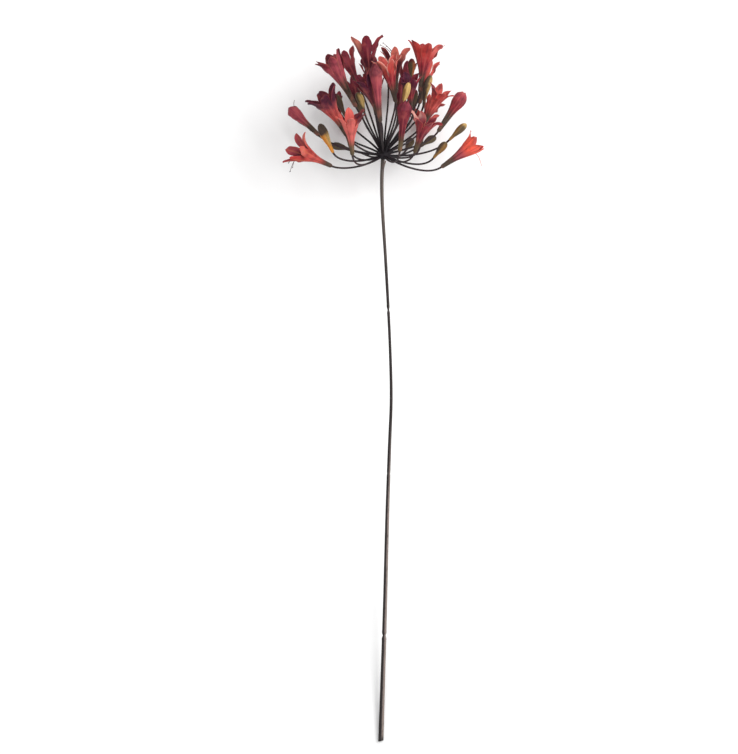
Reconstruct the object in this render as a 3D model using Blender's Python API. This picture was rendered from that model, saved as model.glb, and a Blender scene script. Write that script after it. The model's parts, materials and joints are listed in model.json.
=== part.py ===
"""Agapanthus flower head on its long bare scape, cut and laid down.

The flower is drawn standing, as it grew. The hub, where the pedicels part, is the
zero point, +Y runs up the scape, +X to the right and +Z to the front. An empty then
leans the whole flower back, so that the low petals behind the head and the cut end
of the scape lie on the surface at height zero.

Run it with: blender --background --python part.py
"""

import math
import random

import bmesh
import bpy
from mathutils import Matrix, Vector
from mathutils.geometry import intersect_point_line

MM = 0.001

# How the cut flower lies
SCAPE_LENGTH = 662 * MM
HUB_HEIGHT = 82.6 * MM
FOOTPRINT_MIDDLE = (0.4 * MM, -262.9 * MM)

# The scape: how far below the hub, and how far to the right of it
SCAPE_ROUTE = (
    (4.3, -0.8),
    (30, -1.9),
    (60, -1.2),
    (112, 2.0),
    (166, 5.0),
    (220, 7.5),
    (275, 8.7),
    (329, 6.8),
    (410, 4.2),
    (519, 1.4),
    (627, -1.9),
    (662, -3.0),
)
SCAPE_RADIUS_END = 3.0 * MM
SCAPE_SIDES = 10
SCAPE_STEP = 33 * MM
JOINTS_BELOW_HUB = (175 * MM, 360 * MM, 543 * MM)
JOINT_HALF_WIDTH = 2.0 * MM
JOINT_DEPTH = 0.75 * MM
CUT_SLANT = 0.25

# How thick the scape is: how far below the hub, and its radius there
SCAPE_RADII = (
    (4.3, 2.15),
    (60, 1.95),
    (120, 1.75),
    (198, 1.6),
    (300, 1.8),
    (390, 2.2),
    (503, 2.4),
    (616, 2.8),
    (662, 3.0),
)

# The hub and the pedicels
HUB_PROFILE = ((0.0, -4.0), (4.2, -4.0), (6.2, -0.5), (4.8, 4.0), (0.0, 6.0))
HUB_SIDES = 12
PEDICEL_RADIUS = 1.05 * MM
PEDICEL_SIDES = 5
PEDICEL_ROWS = 6
PEDICEL_DROOP = 0.43
PEDICEL_LOW = 0.7
PEDICEL_START = 2.0 * MM
PEDICEL_PULLS = (0.36, 0.28)
PEDICEL_STRAIGHT = 1.5 * MM
PEDICEL_IN_TUBE = 2.0 * MM
PEDICEL_TO_BUD = 0.3 * MM

# A floret: a narrow tube that widens to a throat, then six lobes
PETALS = 6
PETAL_THICKNESS = 0.9 * MM
TUBE_RADIUS = 2.4 * MM
TUBE_SPREAD = math.radians(3)
TUBE_SHARE = 0.15
THROAT_SHARE = 0.35
FLARE_END = 1.15
OPEN_SPLIT = 0.58
CLOSED_SPLIT = 0.78
CLOSED_TURN = 0.6
CLOSED_TUBE_SHARE = 0.3
LOBE_RINGS = (0.38, 0.74, 1.0)
LOBE_WIDEST = 0.4
INNER_LOBE_WIDTH = 0.196
OUTER_LOBE_WIDTH = 0.170
TIP_SETBACK = 0.12
LOBE_GAP = 0.55 * MM
LOBE_GAP_SHARE = 0.2
LOBE_ROUND = 15 * MM
LOBE_FREE = 0.35
LOBE_STRETCH = (0.95, 1.03)
TIP_CURVE = 2.1
TIP_FULLNESS = 0.7
PROFILE_STEPS = 48
SLOPE_STEP = 0.02

# How the petals of one floret keep clear of its neighbours
FLARE_CHANGE = 9
FLARE_STEP = 4
FLARE_TRIES = 22
NEIGHBOUR_GAP = 1.5 * MM
NEIGHBOUR_REACH = 70 * MM
TESTED_PARTS = (0.35, 0.6, 0.8, 1.0)

# A bud: a club that is narrow where the pedicel holds it
BUD_PROFILE = (
    (0.0, 0.0),
    (0.0, 0.36),
    (0.2, 0.46),
    (0.42, 0.76),
    (0.66, 1.0),
    (0.86, 0.84),
    (0.97, 0.42),
    (1.0, 0.0),
)
BUD_SIDES = 8

# Each floret: hue, base, middle of the mouth (mm from the hub), throat, flare and roll (degrees)
FLORETS = (
    ("coral", (-60, -13, 20), (-100, 4, 42), 21, 80, 8),
    ("red", (67, -12.6, 0), (108, 15, 6), 15, 22, 24),
    ("rose", (-74, 24, -10), (-107, 55, -22), 17, -78, 0),
    ("burgundy", (-42, 20, 45), (-70, 65, 58), 20, 62, 0),
    ("coral", (-35, -2, 62), (-38, 43, 77), 21, 42, 4),
    ("wine", (-32, 54, 30), (-62, 109, 40), 14, 44, 0),
    ("wine", (-26, 74, 0), (-46, 118, 0), 15, 40, 0),
    ("wine", (-14, 75, 25), (-20, 132, 30), 19, 46, 0),
    ("rose", (-6, 42, 50), (-23, 85, 66), 18, 30, 25),
    ("rose", (-4, 35, 62), (-10, 96, 82), 10, -6, 0),
    ("coral", (13, 58, 47), (2, 105, 60), 17, 42, 20),
    ("red", (14, 73, -12), (13, 121, -16), 19, 56, 0),
    ("red", (41, 71, 22), (48, 125, 26), 21, 58, 8),
    ("coral", (41, 60, -2), (53, 108, -4), 12, 22, 0),
    ("burgundy", (30, 50, 41), (29, 84, 59), 18, 45, 20),
    ("coral", (47, 37, 35), (66, 72, 48), 16, 50, 18),
    ("wine", (35, 1, 58), (48, 38, 73), 21, 66, 26),
    ("burgundy", (18, 2, 69), (24, 55, 85), 15, -10, 0),
    ("rose", (63, 29, -12), (92, 72, -20), 18, -78, 20),
    ("rose", (24, 68, -40), (27, 108, -46), 16, 30, 0),
    ("wine", (-37, 11, -58), (-43, 50, -80), 19, 40, 20),
    ("wine", (42, 14, -55), (48, 51, -80), 19, 40, 10),
    ("burgundy", (-46, 33, -38), (-60, 71, -54), 17, 25, 0),
    ("coral", (45, 34, -34), (58, 66, -50), 17, 28, 20),
    ("burgundy", (-26, 52, -36), (-37, 90, -50), 17, 30, 10),
    ("wine", (-8, 50, -52), (-13, 92, -74), 18, 40, 30),
    ("wine", (17, 50, -54), (22, 90, -76), 18, 40, 0),
    ("burgundy", (-9, 66, -26), (-14, 110, -38), 19, 38, 15),
)

# Florets that open less on one side: the way that side faces, and how much less (degrees)
HELD_SHUT = {
    1: ((0.4, -1, 0.2), 75),
    2: ((0.4, -1, 0), 25),
    6: ((1, 0.2, 0), 45),
}

# Each bud: hue, base, tip (mm from the hub) and radius (mm)
BUDS = (
    ("ochre", (-57.6, 3.4, 15), (-72, 34, 20), 5.2),
    ("olive", (-38, 9, -45), (-60, 15, -60), 4.4),
    ("olive", (-43.7, 44, 15), (-55, 68, 18), 4.4),
    ("olive", (-22, 48, 10), (-30, 70, 10), 4.4),
    ("ochre", (20, 48, 60), (28, 76, 72), 4.0),
    ("olive", (45, 55, 24), (53, 88, 27), 4.4),
    ("olive", (26, 9, -48), (33, 22, -68), 4.8),
    ("olive", (43.5, 13, -40), (60, 24, -55), 4.4),
    ("olive", (75, 18, -9), (94, 36, -10), 4.2),
    ("ochre", (57, -3, 7), (71, 14, 9), 4.4),
    ("olive", (32, 85, -6), (32, 110, -8), 4.2),
    ("olive", (34, 50, 2), (36, 74, 2), 4.2),
    ("olive", (-82, 31, -42), (-100, 48, -54), 4.6),
    ("olive", (-5, 58, -43), (-7, 82, -58), 4.4),
    ("olive", (6, 80, -38), (7, 104, -50), 4.2),
)

HUES = {
    "coral": (0.70, 0.115, 0.085),
    "red": (0.60, 0.060, 0.045),
    "wine": (0.25, 0.022, 0.030),
    "rose": (0.30, 0.055, 0.070),
    "burgundy": (0.10, 0.008, 0.022),
    "ochre": (0.50, 0.235, 0.040),
    "olive": (0.16, 0.110, 0.045),
    "pedicel": (0.045, 0.028, 0.032),
    "scape": (0.085, 0.060, 0.052),
}
ROUGHNESS = 0.7

# The lean that puts the cut end of the scape on the surface
LEAN = math.asin(HUB_HEIGHT / SCAPE_LENGTH) - SCAPE_RADIUS_END / SCAPE_LENGTH
UP = Vector((0, math.sin(LEAN), math.cos(LEAN)))
FRONT = Vector((0, 0, 1))


def smooth(value):
    """0 to 1 with level ends."""
    value = min(max(value, 0.0), 1.0)
    return value * value * (3 - 2 * value)


def mm(point):
    return Vector(point) * MM


def clear_scene():
    for obj in list(bpy.data.objects):
        bpy.data.objects.remove(obj, do_unlink=True)


def material(hue):
    """One plain matte finish for each hue, made once."""
    found = bpy.data.materials.get(hue)
    if found:
        return found
    made = bpy.data.materials.new(hue)
    made.use_nodes = True
    shader = made.node_tree.nodes["Principled BSDF"]
    shader.inputs["Base Color"].default_value = (*HUES[hue], 1)
    shader.inputs["Roughness"].default_value = ROUGHNESS
    shader.inputs["Metallic"].default_value = 0
    made.diffuse_color = (*HUES[hue], 1)
    return made


def add_object(name, bm, hue, parent, matrix=Matrix()):
    """Puts a finished bmesh into the scene as one named piece."""
    mesh = bpy.data.meshes.new(name)
    bm.to_mesh(mesh)
    bm.free()
    mesh.materials.append(material(hue))
    mesh.shade_smooth()
    obj = bpy.data.objects.new(name, mesh)
    bpy.context.scene.collection.objects.link(obj)
    obj.parent = parent
    obj.matrix_local = matrix
    return obj


def add_sheet(bm, columns, rows, place):
    """A grid of columns by rows faces, each point moved to place(column, row)."""
    made = bmesh.ops.create_grid(bm, x_segments=columns, y_segments=rows, size=0.5)
    for vert in made["verts"]:
        column = round((vert.co.x + 0.5) * columns)
        row = round((vert.co.y + 0.5) * rows)
        vert.co = place(column, row)


def weld(bm, near=0.00002):
    bmesh.ops.remove_doubles(bm, verts=bm.verts, dist=near)


def close_up(bm):
    """Fills the open ends and turns every face outwards."""
    weld(bm)
    bmesh.ops.holes_fill(bm, edges=bm.edges, sides=0)
    bmesh.ops.recalc_face_normals(bm, faces=bm.faces)


def turned(bm, profile, scale_along, scale_out, sides, along, out):
    """A solid turned from (place along, radius) pairs round the axis along."""
    other = along.cross(out)

    def place(column, row):
        height, radius = profile[row]
        angle = math.tau * column / sides
        spoke = out * math.cos(angle) + other * math.sin(angle)
        return along * (height * scale_along) + spoke * (radius * scale_out)

    add_sheet(bm, sides, len(profile) - 1, place)


def add_tube(bm, path, radii, sides):
    """A round tube along path that doesn't twist on the way."""
    side = (path[1] - path[0]).orthogonal().normalized()
    frames = []
    for index in range(len(path)):
        before = path[max(index - 1, 0)]
        after = path[min(index + 1, len(path) - 1)]
        ahead = (after - before).normalized()
        side = (side - ahead * side.dot(ahead)).normalized()
        frames.append((side, ahead.cross(side)))

    def place(column, row):
        angle = math.tau * column / sides
        out, other = frames[row]
        return path[row] + (out * math.cos(angle) + other * math.sin(angle)) * radii[row]

    add_sheet(bm, sides, len(path) - 1, place)


def bezier(start, pull_start, pull_end, end, along):
    rest = 1 - along
    return (
        start * rest**3
        + pull_start * (3 * rest * rest * along)
        + pull_end * (3 * rest * along * along)
        + end * along**3
    )


# The scape


def read_table(table, below):
    """The value at a depth, on a smooth line through a table of (depth, value) in mm."""
    knots = [(depth * MM, value * MM) for depth, value in table]
    last = len(knots) - 1
    index = 0
    while index < last - 1 and knots[index + 1][0] < below:
        index += 1
    (depth_a, value_a), (depth_b, value_b) = knots[index], knots[index + 1]
    before = knots[max(index - 1, 0)]
    after = knots[min(index + 2, last)]
    slope_a = (value_b - before[1]) / (depth_b - before[0])
    slope_b = (after[1] - value_a) / (after[0] - depth_a)
    span = depth_b - depth_a
    part = (below - depth_a) / span
    rest = 1 - part
    return (
        value_a * (1 + 2 * part) * rest * rest
        + value_b * part * part * (3 - 2 * part)
        + span * slope_a * part * rest * rest
        - span * slope_b * part * part * rest
    )


def scape_radius(below):
    """Thinnest a third of the way down, with a narrow ring at each joint."""
    radius = read_table(SCAPE_RADII, below)
    if any(abs(below - joint) < JOINT_HALF_WIDTH / 2 for joint in JOINTS_BELOW_HUB):
        radius -= JOINT_DEPTH
    return radius


def scape_stations():
    """Depths of the tube's rings: even steps, and three close ones at each joint."""
    top = SCAPE_ROUTE[0][0] * MM
    count = round((SCAPE_LENGTH - top) / SCAPE_STEP)
    stations = [top + (SCAPE_LENGTH - top) * step / count for step in range(count + 1)]
    near = 2 * JOINT_HALF_WIDTH
    stations = [s for s in stations if all(abs(s - joint) > near for joint in JOINTS_BELOW_HUB)]
    for joint in JOINTS_BELOW_HUB:
        stations += [joint - JOINT_HALF_WIDTH, joint, joint + JOINT_HALF_WIDTH]
    return sorted(stations)


def make_scape(parent):
    stations = scape_stations()
    path = [Vector((read_table(SCAPE_ROUTE, below), -below, 0)) for below in stations]
    radii = [scape_radius(below) for below in stations]
    bm = bmesh.new()
    add_tube(bm, path, radii, SCAPE_SIDES)
    for vert in bm.verts:
        if vert.co.y < path[-1].y + SCAPE_STEP / 4:
            vert.co.y += (vert.co.x - path[-1].x) * CUT_SLANT
    close_up(bm)
    return add_object("scape", bm, "scape", parent)


# The florets


def petal_profile(throat, turn, flare, tube_share):
    """(radius, height) at each step of s, for a wall one unit long."""
    radius, height = 0.0, 0.0
    steps = [(radius, height)]
    for step in range(PROFILE_STEPS):
        s = (step + 0.5) / PROFILE_STEPS
        spread = TUBE_SPREAD + (throat - TUBE_SPREAD) * smooth((s - tube_share) / THROAT_SHARE)
        spread += (flare - throat) * smooth((s - turn) / (FLARE_END - turn))
        radius += math.sin(spread) / PROFILE_STEPS
        height += math.cos(spread) / PROFILE_STEPS
        steps.append((radius, height))
    return steps


def read_profile(steps, s):
    place = min(s, 1.0) * PROFILE_STEPS
    index = min(int(place), PROFILE_STEPS - 1)
    part = place - index
    radius = steps[index][0] * (1 - part) + steps[index + 1][0] * part
    height = steps[index][1] * (1 - part) + steps[index + 1][1] * part
    return radius, height


def lobe_half_width(along, start, widest):
    """Half the width of a lobe, from where it parts (0) to its round tip (1)."""
    if along < LOBE_WIDEST:
        return start + (widest - start) * smooth(along / LOBE_WIDEST)
    beyond = (along - LOBE_WIDEST) / (1 - LOBE_WIDEST)
    return widest * max(1 - beyond**TIP_CURVE, 0.0) ** TIP_FULLNESS


class Floret:
    """Where one floret stands, and the surface of its six petals."""

    def __init__(self, number, row):
        self.hue, base, mouth, self.throat, self.flare, roll = row
        self.base = mm(base)
        self.mouth = mm(mouth)
        self.axis = (self.mouth - self.base).normalized()
        self.closed = self.flare < 0
        self.split = CLOSED_SPLIT if self.closed else OPEN_SPLIT
        self.turn = CLOSED_TURN if self.closed else OPEN_SPLIT
        self.tube_share = CLOSED_TUBE_SHARE if self.closed else TUBE_SHARE
        steps = self.opened(self.flare)
        self.length = (self.mouth - self.base).length / steps[-1][1]
        self.spread = TUBE_RADIUS + self.length * max(radius for radius, height in steps)
        toward_front = (FRONT - self.axis * FRONT.dot(self.axis)).normalized()
        turn = Matrix.Rotation(math.radians(roll), 3, self.axis)
        self.side = turn @ toward_front
        draw = random.Random(number)
        change = 0 if self.closed else FLARE_CHANGE
        self.wish = [self.flare + draw.uniform(-change, change) for _ in range(PETALS)]
        self.stretch = [draw.uniform(*LOBE_STRETCH) for _ in range(PETALS)]
        facing, less = HELD_SHUT.get(number, (FRONT, 0))
        for petal in range(PETALS):
            shut = max(self.spoke(petal).dot(Vector(facing).normalized()), 0.0)
            self.wish[petal] -= less * shut
        self.profiles = [self.opened(flare) for flare in self.wish]

    def opened(self, flare):
        throat, flare = math.radians(self.throat), math.radians(flare)
        return petal_profile(throat, self.turn, flare, self.tube_share)

    def matrix(self):
        other = self.axis.cross(self.side)
        turn = Matrix((self.side, other, self.axis)).transposed()
        return Matrix.Translation(self.base) @ turn.to_4x4()

    def spoke(self, petal):
        """The way out from the axis to the middle of a petal."""
        azimuth = math.tau * petal / PETALS
        return self.side * math.cos(azimuth) + self.axis.cross(self.side) * math.sin(azimuth)

    def point(self, petal, s, across, steps):
        """Point of a petal's wall, across from -1 to 1 between its edges."""
        spoke = self.spoke(petal)
        sideways = self.axis.cross(spoke)
        part = max(s - self.split, 0.0) / (1 - self.split)
        reached = s if s <= self.split else self.split + (s - self.split) * self.stretch[petal]
        radius, height = read_profile(steps, reached)
        radius = TUBE_RADIUS + radius * self.length
        height *= self.length
        upper = min(reached + SLOPE_STEP, 1.0)
        ahead = read_profile(steps, upper)
        behind = read_profile(steps, upper - 2 * SLOPE_STEP)
        rise = math.atan2(ahead[0] - behind[0], ahead[1] - behind[1])
        free = smooth(part / LOBE_FREE)
        tilt = rise * free
        inward = self.axis * math.sin(tilt) - spoke * math.cos(tilt)
        bend = radius + (LOBE_ROUND - radius) * free if radius < LOBE_ROUND else radius
        half_sector = math.pi / PETALS
        half_width = radius * half_sector
        if part > 0:
            widest = (INNER_LOBE_WIDTH if petal % 2 else OUTER_LOBE_WIDTH) * self.length / 2
            start = (TUBE_RADIUS + read_profile(steps, self.split)[0] * self.length) * half_sector
            half_width = lobe_half_width(part, start, widest)
            room = radius * half_sector - LOBE_GAP * smooth(part / LOBE_GAP_SHARE)
            half_width = min(half_width, max(room, 0.0))
        turn = across * half_width / bend
        offset = sideways * (bend * math.sin(turn)) + inward * (bend * (1 - math.cos(turn)))
        return self.base + self.axis * height + spoke * radius + offset

    def clears(self, petal, steps, others, buds):
        """Whether a petal this open stays on its own side of each neighbour."""
        for part in TESTED_PARTS:
            s = self.split + (1 - self.split) * part
            for across in (-1, 0, 1):
                point = self.point(petal, s, across, steps)
                own = distance_to(point, self.base, self.mouth)
                for other in others:
                    theirs = distance_to(point, other.base, other.mouth) - NEIGHBOUR_GAP
                    if own * other.spread > theirs * self.spread:
                        return False
                for bud in buds:
                    if distance_to(point, bud.base, bud.tip) < bud.radius + NEIGHBOUR_GAP:
                        return False
        return True

    def open_petals(self, others, buds):
        """Each petal opens as far as it wants to, or as its neighbours let it."""
        if self.closed:
            return
        near = [other for other in others if other is not self]
        near = [other for other in near if (other.mouth - self.mouth).length < NEIGHBOUR_REACH]
        near_buds = [bud for bud in buds if (bud.tip - self.mouth).length < NEIGHBOUR_REACH]
        for petal in range(PETALS):
            flare = self.wish[petal]
            for _ in range(FLARE_TRIES):
                if self.clears(petal, self.opened(flare), near, near_buds):
                    break
                flare -= FLARE_STEP
            self.profiles[petal] = self.opened(flare)


def distance_to(point, start, end):
    """Distance from a point to a straight axis between two ends."""
    nearest, part = intersect_point_line(point, start, end)
    if part < 0:
        nearest = start
    elif part > 1:
        nearest = end
    return (point - nearest).length


def lay_on_surface(point):
    """A point that would sink into the surface lies on it instead."""
    height = HUB_HEIGHT + point.dot(UP)
    return point - UP * height if height < 0 else point


def make_floret(name, floret, parent):
    split = floret.split
    rings = (0.0, split / 2, split, *(split + (1 - split) * part for part in LOBE_RINGS))
    setback = TIP_SETBACK * (1 - split)
    into_place = floret.matrix().inverted()
    bm = bmesh.new()
    for petal in range(PETALS):

        def place(column, row):
            across = column - 1
            s = rings[row] - (setback * abs(across) if row == len(rings) - 1 else 0)
            point = floret.point(petal, s, across, floret.profiles[petal])
            return into_place @ lay_on_surface(point)

        add_sheet(bm, 2, len(rings) - 1, place)
    weld(bm)
    bmesh.ops.triangulate(bm, faces=bm.faces)
    obj = add_object(name, bm, floret.hue, parent, floret.matrix())
    wall = obj.modifiers.new("petal thickness", "SOLIDIFY")
    wall.thickness = PETAL_THICKNESS
    wall.offset = -1
    return obj


# The buds


class Bud:
    def __init__(self, row):
        self.hue, base, tip, radius = row
        self.base = mm(base)
        self.tip = mm(tip)
        self.radius = radius * MM
        self.axis = (self.tip - self.base).normalized()


def make_bud(name, bud, parent):
    turn = bud.axis.to_track_quat("Z", "Y").to_matrix().to_4x4()
    bm = bmesh.new()
    length = (bud.tip - bud.base).length
    turned(bm, BUD_PROFILE, length, bud.radius, BUD_SIDES, FRONT, Vector((1, 0, 0)))
    close_up(bm)
    return add_object(name, bm, bud.hue, parent, Matrix.Translation(bud.base) @ turn)


# The hub and the pedicels


def pedicel_path(base, axis, past_base):
    """A low pedicel droops from the hub before it lifts its flower."""
    away = base.normalized()
    low = 1 - smooth(away.y / PEDICEL_LOW)
    start_way = (away - Vector((0, PEDICEL_DROOP * low, 0))).normalized()
    near_pull, far_pull = PEDICEL_PULLS
    start = start_way * PEDICEL_START
    pull_start = start_way * (base.length * near_pull)
    neck = base - axis * PEDICEL_STRAIGHT
    pull_end = neck - axis * (base.length * far_pull)
    steps = [row / PEDICEL_ROWS for row in range(PEDICEL_ROWS + 1)]
    path = [bezier(start, pull_start, pull_end, neck, step) for step in steps]
    return path + [base + axis * past_base]


def make_pedicels(florets, buds, parent):
    """Every pedicel and the hub, joined by one union."""
    ends = [(floret.base, floret.axis, PEDICEL_IN_TUBE) for floret in florets]
    ends += [(bud.base, bud.axis, -PEDICEL_TO_BUD) for bud in buds]
    joined = bpy.data.collections.new("pedicels to join")
    for base, axis, past_base in ends:
        bm = bmesh.new()
        path = pedicel_path(base, axis, past_base)
        add_tube(bm, path, [PEDICEL_RADIUS] * len(path), PEDICEL_SIDES)
        close_up(bm)
        mesh = bpy.data.meshes.new("pedicel")
        bm.to_mesh(mesh)
        bm.free()
        joined.objects.link(bpy.data.objects.new("pedicel", mesh))
    bpy.context.scene.collection.children.link(joined)
    bm = bmesh.new()
    profile = [(height, radius) for radius, height in HUB_PROFILE]
    turned(bm, profile, MM, MM, HUB_SIDES, Vector((0, 1, 0)), Vector((1, 0, 0)))
    close_up(bm)
    obj = add_object("pedicels", bm, "pedicel", None)
    union = obj.modifiers.new("join", "BOOLEAN")
    union.operation = "UNION"
    union.operand_type = "COLLECTION"
    union.collection = joined
    union.solver = "EXACT"
    graph = bpy.context.evaluated_depsgraph_get()
    fused = bpy.data.meshes.new_from_object(obj.evaluated_get(graph))
    obj.modifiers.clear()
    obj.data = fused
    for helper in list(joined.objects):
        bpy.data.objects.remove(helper, do_unlink=True)
    bpy.data.collections.remove(joined)
    obj.parent = parent
    return obj


def lay_flower():
    """The empty that leans the standing flower back onto the surface."""
    flower = bpy.data.objects.new("laid flower", None)
    bpy.context.scene.collection.objects.link(flower)
    right, along = FOOTPRINT_MIDDLE
    flower.location = (-right, -along, HUB_HEIGHT)
    flower.rotation_euler = (LEAN, 0, 0)
    return flower


def build():
    clear_scene()
    flower = lay_flower()
    bpy.context.view_layer.update()
    florets = [Floret(number, row) for number, row in enumerate(FLORETS, 1)]
    buds = [Bud(row) for row in BUDS]
    for floret in florets:
        floret.open_petals(florets, buds)
    make_scape(flower)
    make_pedicels(florets, buds, flower)
    for number, floret in enumerate(florets, 1):
        make_floret(f"floret_{number:02d}", floret, flower)
    for number, bud in enumerate(buds, 1):
        make_bud(f"bud_{number:02d}", bud, flower)
    bpy.context.view_layer.update()


build()
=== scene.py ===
# %% [markdown]
# # Agapanthus flower head
# The real object is one cut flower: a round head of trumpet florets and buds, each on
# its own thin pedicel, all of them leaving one hub at the top of a long bare stalk.
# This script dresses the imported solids. Each piece is made standing, as it grew, and is
# then laid down with the same lean as its solid, so everything meets where it should.

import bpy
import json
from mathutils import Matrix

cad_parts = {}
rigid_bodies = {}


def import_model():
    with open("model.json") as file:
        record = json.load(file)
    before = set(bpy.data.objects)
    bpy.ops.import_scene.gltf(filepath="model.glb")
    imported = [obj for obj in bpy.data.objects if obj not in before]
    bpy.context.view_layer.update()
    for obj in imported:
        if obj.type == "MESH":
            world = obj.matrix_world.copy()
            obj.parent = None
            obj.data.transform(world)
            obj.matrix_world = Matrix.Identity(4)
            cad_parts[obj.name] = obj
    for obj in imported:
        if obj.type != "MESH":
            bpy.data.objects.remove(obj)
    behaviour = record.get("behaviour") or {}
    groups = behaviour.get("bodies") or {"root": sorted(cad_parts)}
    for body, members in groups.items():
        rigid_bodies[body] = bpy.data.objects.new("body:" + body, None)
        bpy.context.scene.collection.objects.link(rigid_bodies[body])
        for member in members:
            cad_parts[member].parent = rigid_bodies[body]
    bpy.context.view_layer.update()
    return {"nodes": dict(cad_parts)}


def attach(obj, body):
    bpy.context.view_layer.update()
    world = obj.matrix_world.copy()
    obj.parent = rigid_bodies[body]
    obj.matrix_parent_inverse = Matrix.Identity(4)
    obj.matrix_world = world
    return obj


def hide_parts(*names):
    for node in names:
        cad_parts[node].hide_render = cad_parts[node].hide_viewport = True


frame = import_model()
print("solids:", len(frame["nodes"]))

# %% Tools
import json
import math
import random

import bmesh
import bpy
from mathutils import Matrix, Vector, noise
from mathutils.geometry import intersect_point_line

MM = 0.001
scene = bpy.context.scene
print("Blender", bpy.app.version_string)

# %% [markdown]
# ## How the cut flower lies
# A cut stem can't stand, so the flower lies on its low petals and on the end of its
# stalk. Drawing it standing keeps the numbers plain: the hub is the zero point, +Y runs
# up the stalk, +X is right and +Z is towards the eye. One matrix then lays it down.

# %% The lean
STALK_LENGTH = 662 * MM
HUB_HEIGHT = 82.6 * MM
STALK_END_RADIUS = 3.0 * MM
FOOTPRINT_MIDDLE = (0.4 * MM, -262.9 * MM)
LEAN = math.asin(HUB_HEIGHT / STALK_LENGTH) - STALK_END_RADIUS / STALK_LENGTH
UP = Vector((0, math.sin(LEAN), math.cos(LEAN)))
FRONT = Vector((0, 0, 1))

middle_right, middle_along = FOOTPRINT_MIDDLE
laid = Matrix.Translation((-middle_right, -middle_along, HUB_HEIGHT))
laid = laid @ Matrix.Rotation(LEAN, 4, "X")
print("lean in degrees:", round(math.degrees(LEAN), 2))

# %% [markdown]
# ## The photograph's camera
# The picture looks straight at the side of the stalk, from far enough away that near and
# far florets are drawn to one scale. The camera could be placed by eye, but one known
# point, the hub, and one known scale give its place and its lens by plain arithmetic.

# %% Camera
PHOTO_WIDTH = 738
PHOTO_HEIGHT = 754
HUB_PIXEL = (383.5, 155)
METRES_PER_PIXEL = 1.13 * MM
CAMERA_DISTANCE = 4.0
SENSOR = 36

camera_data = bpy.data.cameras.new("camera")
camera = bpy.data.objects.new("camera", camera_data)
scene.collection.objects.link(camera)
from_hub_right = (PHOTO_WIDTH / 2 - HUB_PIXEL[0]) * METRES_PER_PIXEL
from_hub_up = (HUB_PIXEL[1] - PHOTO_HEIGHT / 2) * METRES_PER_PIXEL
camera.location = laid @ Vector((from_hub_right, from_hub_up, CAMERA_DISTANCE))
camera.rotation_euler = (LEAN, 0, 0)
camera_data.sensor_width = SENSOR
camera_data.lens = SENSOR * CAMERA_DISTANCE / (PHOTO_HEIGHT * METRES_PER_PIXEL)
camera_data.clip_end = 60
scene.camera = camera
print("lens in mm:", round(camera_data.lens, 1))

# %% [markdown]
# ## Floor and light
# A studio picture of a flower is lit by big soft lamps and by pale walls. The floor is
# one wide plain sheet. Area lamps give shadows with wide soft edges, and the pale world
# fills them. One stands to the right, where the photograph's light comes from, and a
# wider one overhead lightens the shadow that the head throws on the floor.

# %% Floor
FLOOR_SIZE = 30
FLOOR_DROP = 0.05 * MM
FLOOR_LOOK = {
    "Base Color": (0.90, 0.90, 0.90, 1),
    "Roughness": 0.9,
    "Specular IOR Level": 0.1,
}


def as_object(name, bm, collection=scene.collection):
    """A mesh object that holds what was drawn."""
    mesh = bpy.data.meshes.new(name)
    bm.to_mesh(mesh)
    bm.free()
    obj = bpy.data.objects.new(name, mesh)
    collection.objects.link(obj)
    return obj


bm = bmesh.new()
bmesh.ops.create_grid(bm, x_segments=1, y_segments=1, size=FLOOR_SIZE / 2)
bmesh.ops.translate(bm, verts=bm.verts, vec=(0, 0, -FLOOR_DROP))
floor = as_object("floor", bm)
floor_finish = bpy.data.materials.new("floor")
floor_finish.use_nodes = True
floor_shader = floor_finish.node_tree.nodes["Principled BSDF"]
for socket, value in FLOOR_LOOK.items():
    floor_shader.inputs[socket].default_value = value
floor.data.materials.append(floor_finish)
print("floor:", FLOOR_SIZE, "m wide")

# %% Light
SKY_COLOUR = (1.0, 1.0, 1.0, 1)
SKY_STRENGTH = 0.42
LAMP_AIM = (0, -0.2, 0)
# Each lamp: name, place (m from the hub of the standing flower), size (m), power (W)
LAMPS = (
    ("key lamp", (1.6, 0.5, 2.1), 1.8, 64),
    ("overhead lamp", (-0.4, 0.3, 2.8), 2.6, 40),
)


def soft_lamp(name, place, size, power):
    """A square lamp that looks at the stalk, a little below the head."""
    data = bpy.data.lights.new(name, "AREA")
    data.shape = "SQUARE"
    data.size = size
    data.energy = power
    lamp = bpy.data.objects.new(name, data)
    scene.collection.objects.link(lamp)
    lamp.location = laid @ Vector(place)
    toward = laid @ Vector(LAMP_AIM) - lamp.location
    lamp.rotation_euler = toward.to_track_quat("-Z", "Y").to_euler()


world = bpy.data.worlds.new("studio")
world.use_nodes = True
sky = world.node_tree.nodes["Background"]
sky.inputs["Color"].default_value = SKY_COLOUR
sky.inputs["Strength"].default_value = SKY_STRENGTH
scene.world = world
scene.view_settings.view_transform = "Standard"
for lamp in LAMPS:
    soft_lamp(*lamp)

# %% [markdown]
# ## A short way to write materials
# Every finish here is worked out by nodes, from where a spot is on its petal. Wiring the
# nodes one by one makes long code, so a small class stands for one output socket: adding
# or multiplying two of them adds the Math node and its links.

# %% Wires and finishes


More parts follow.
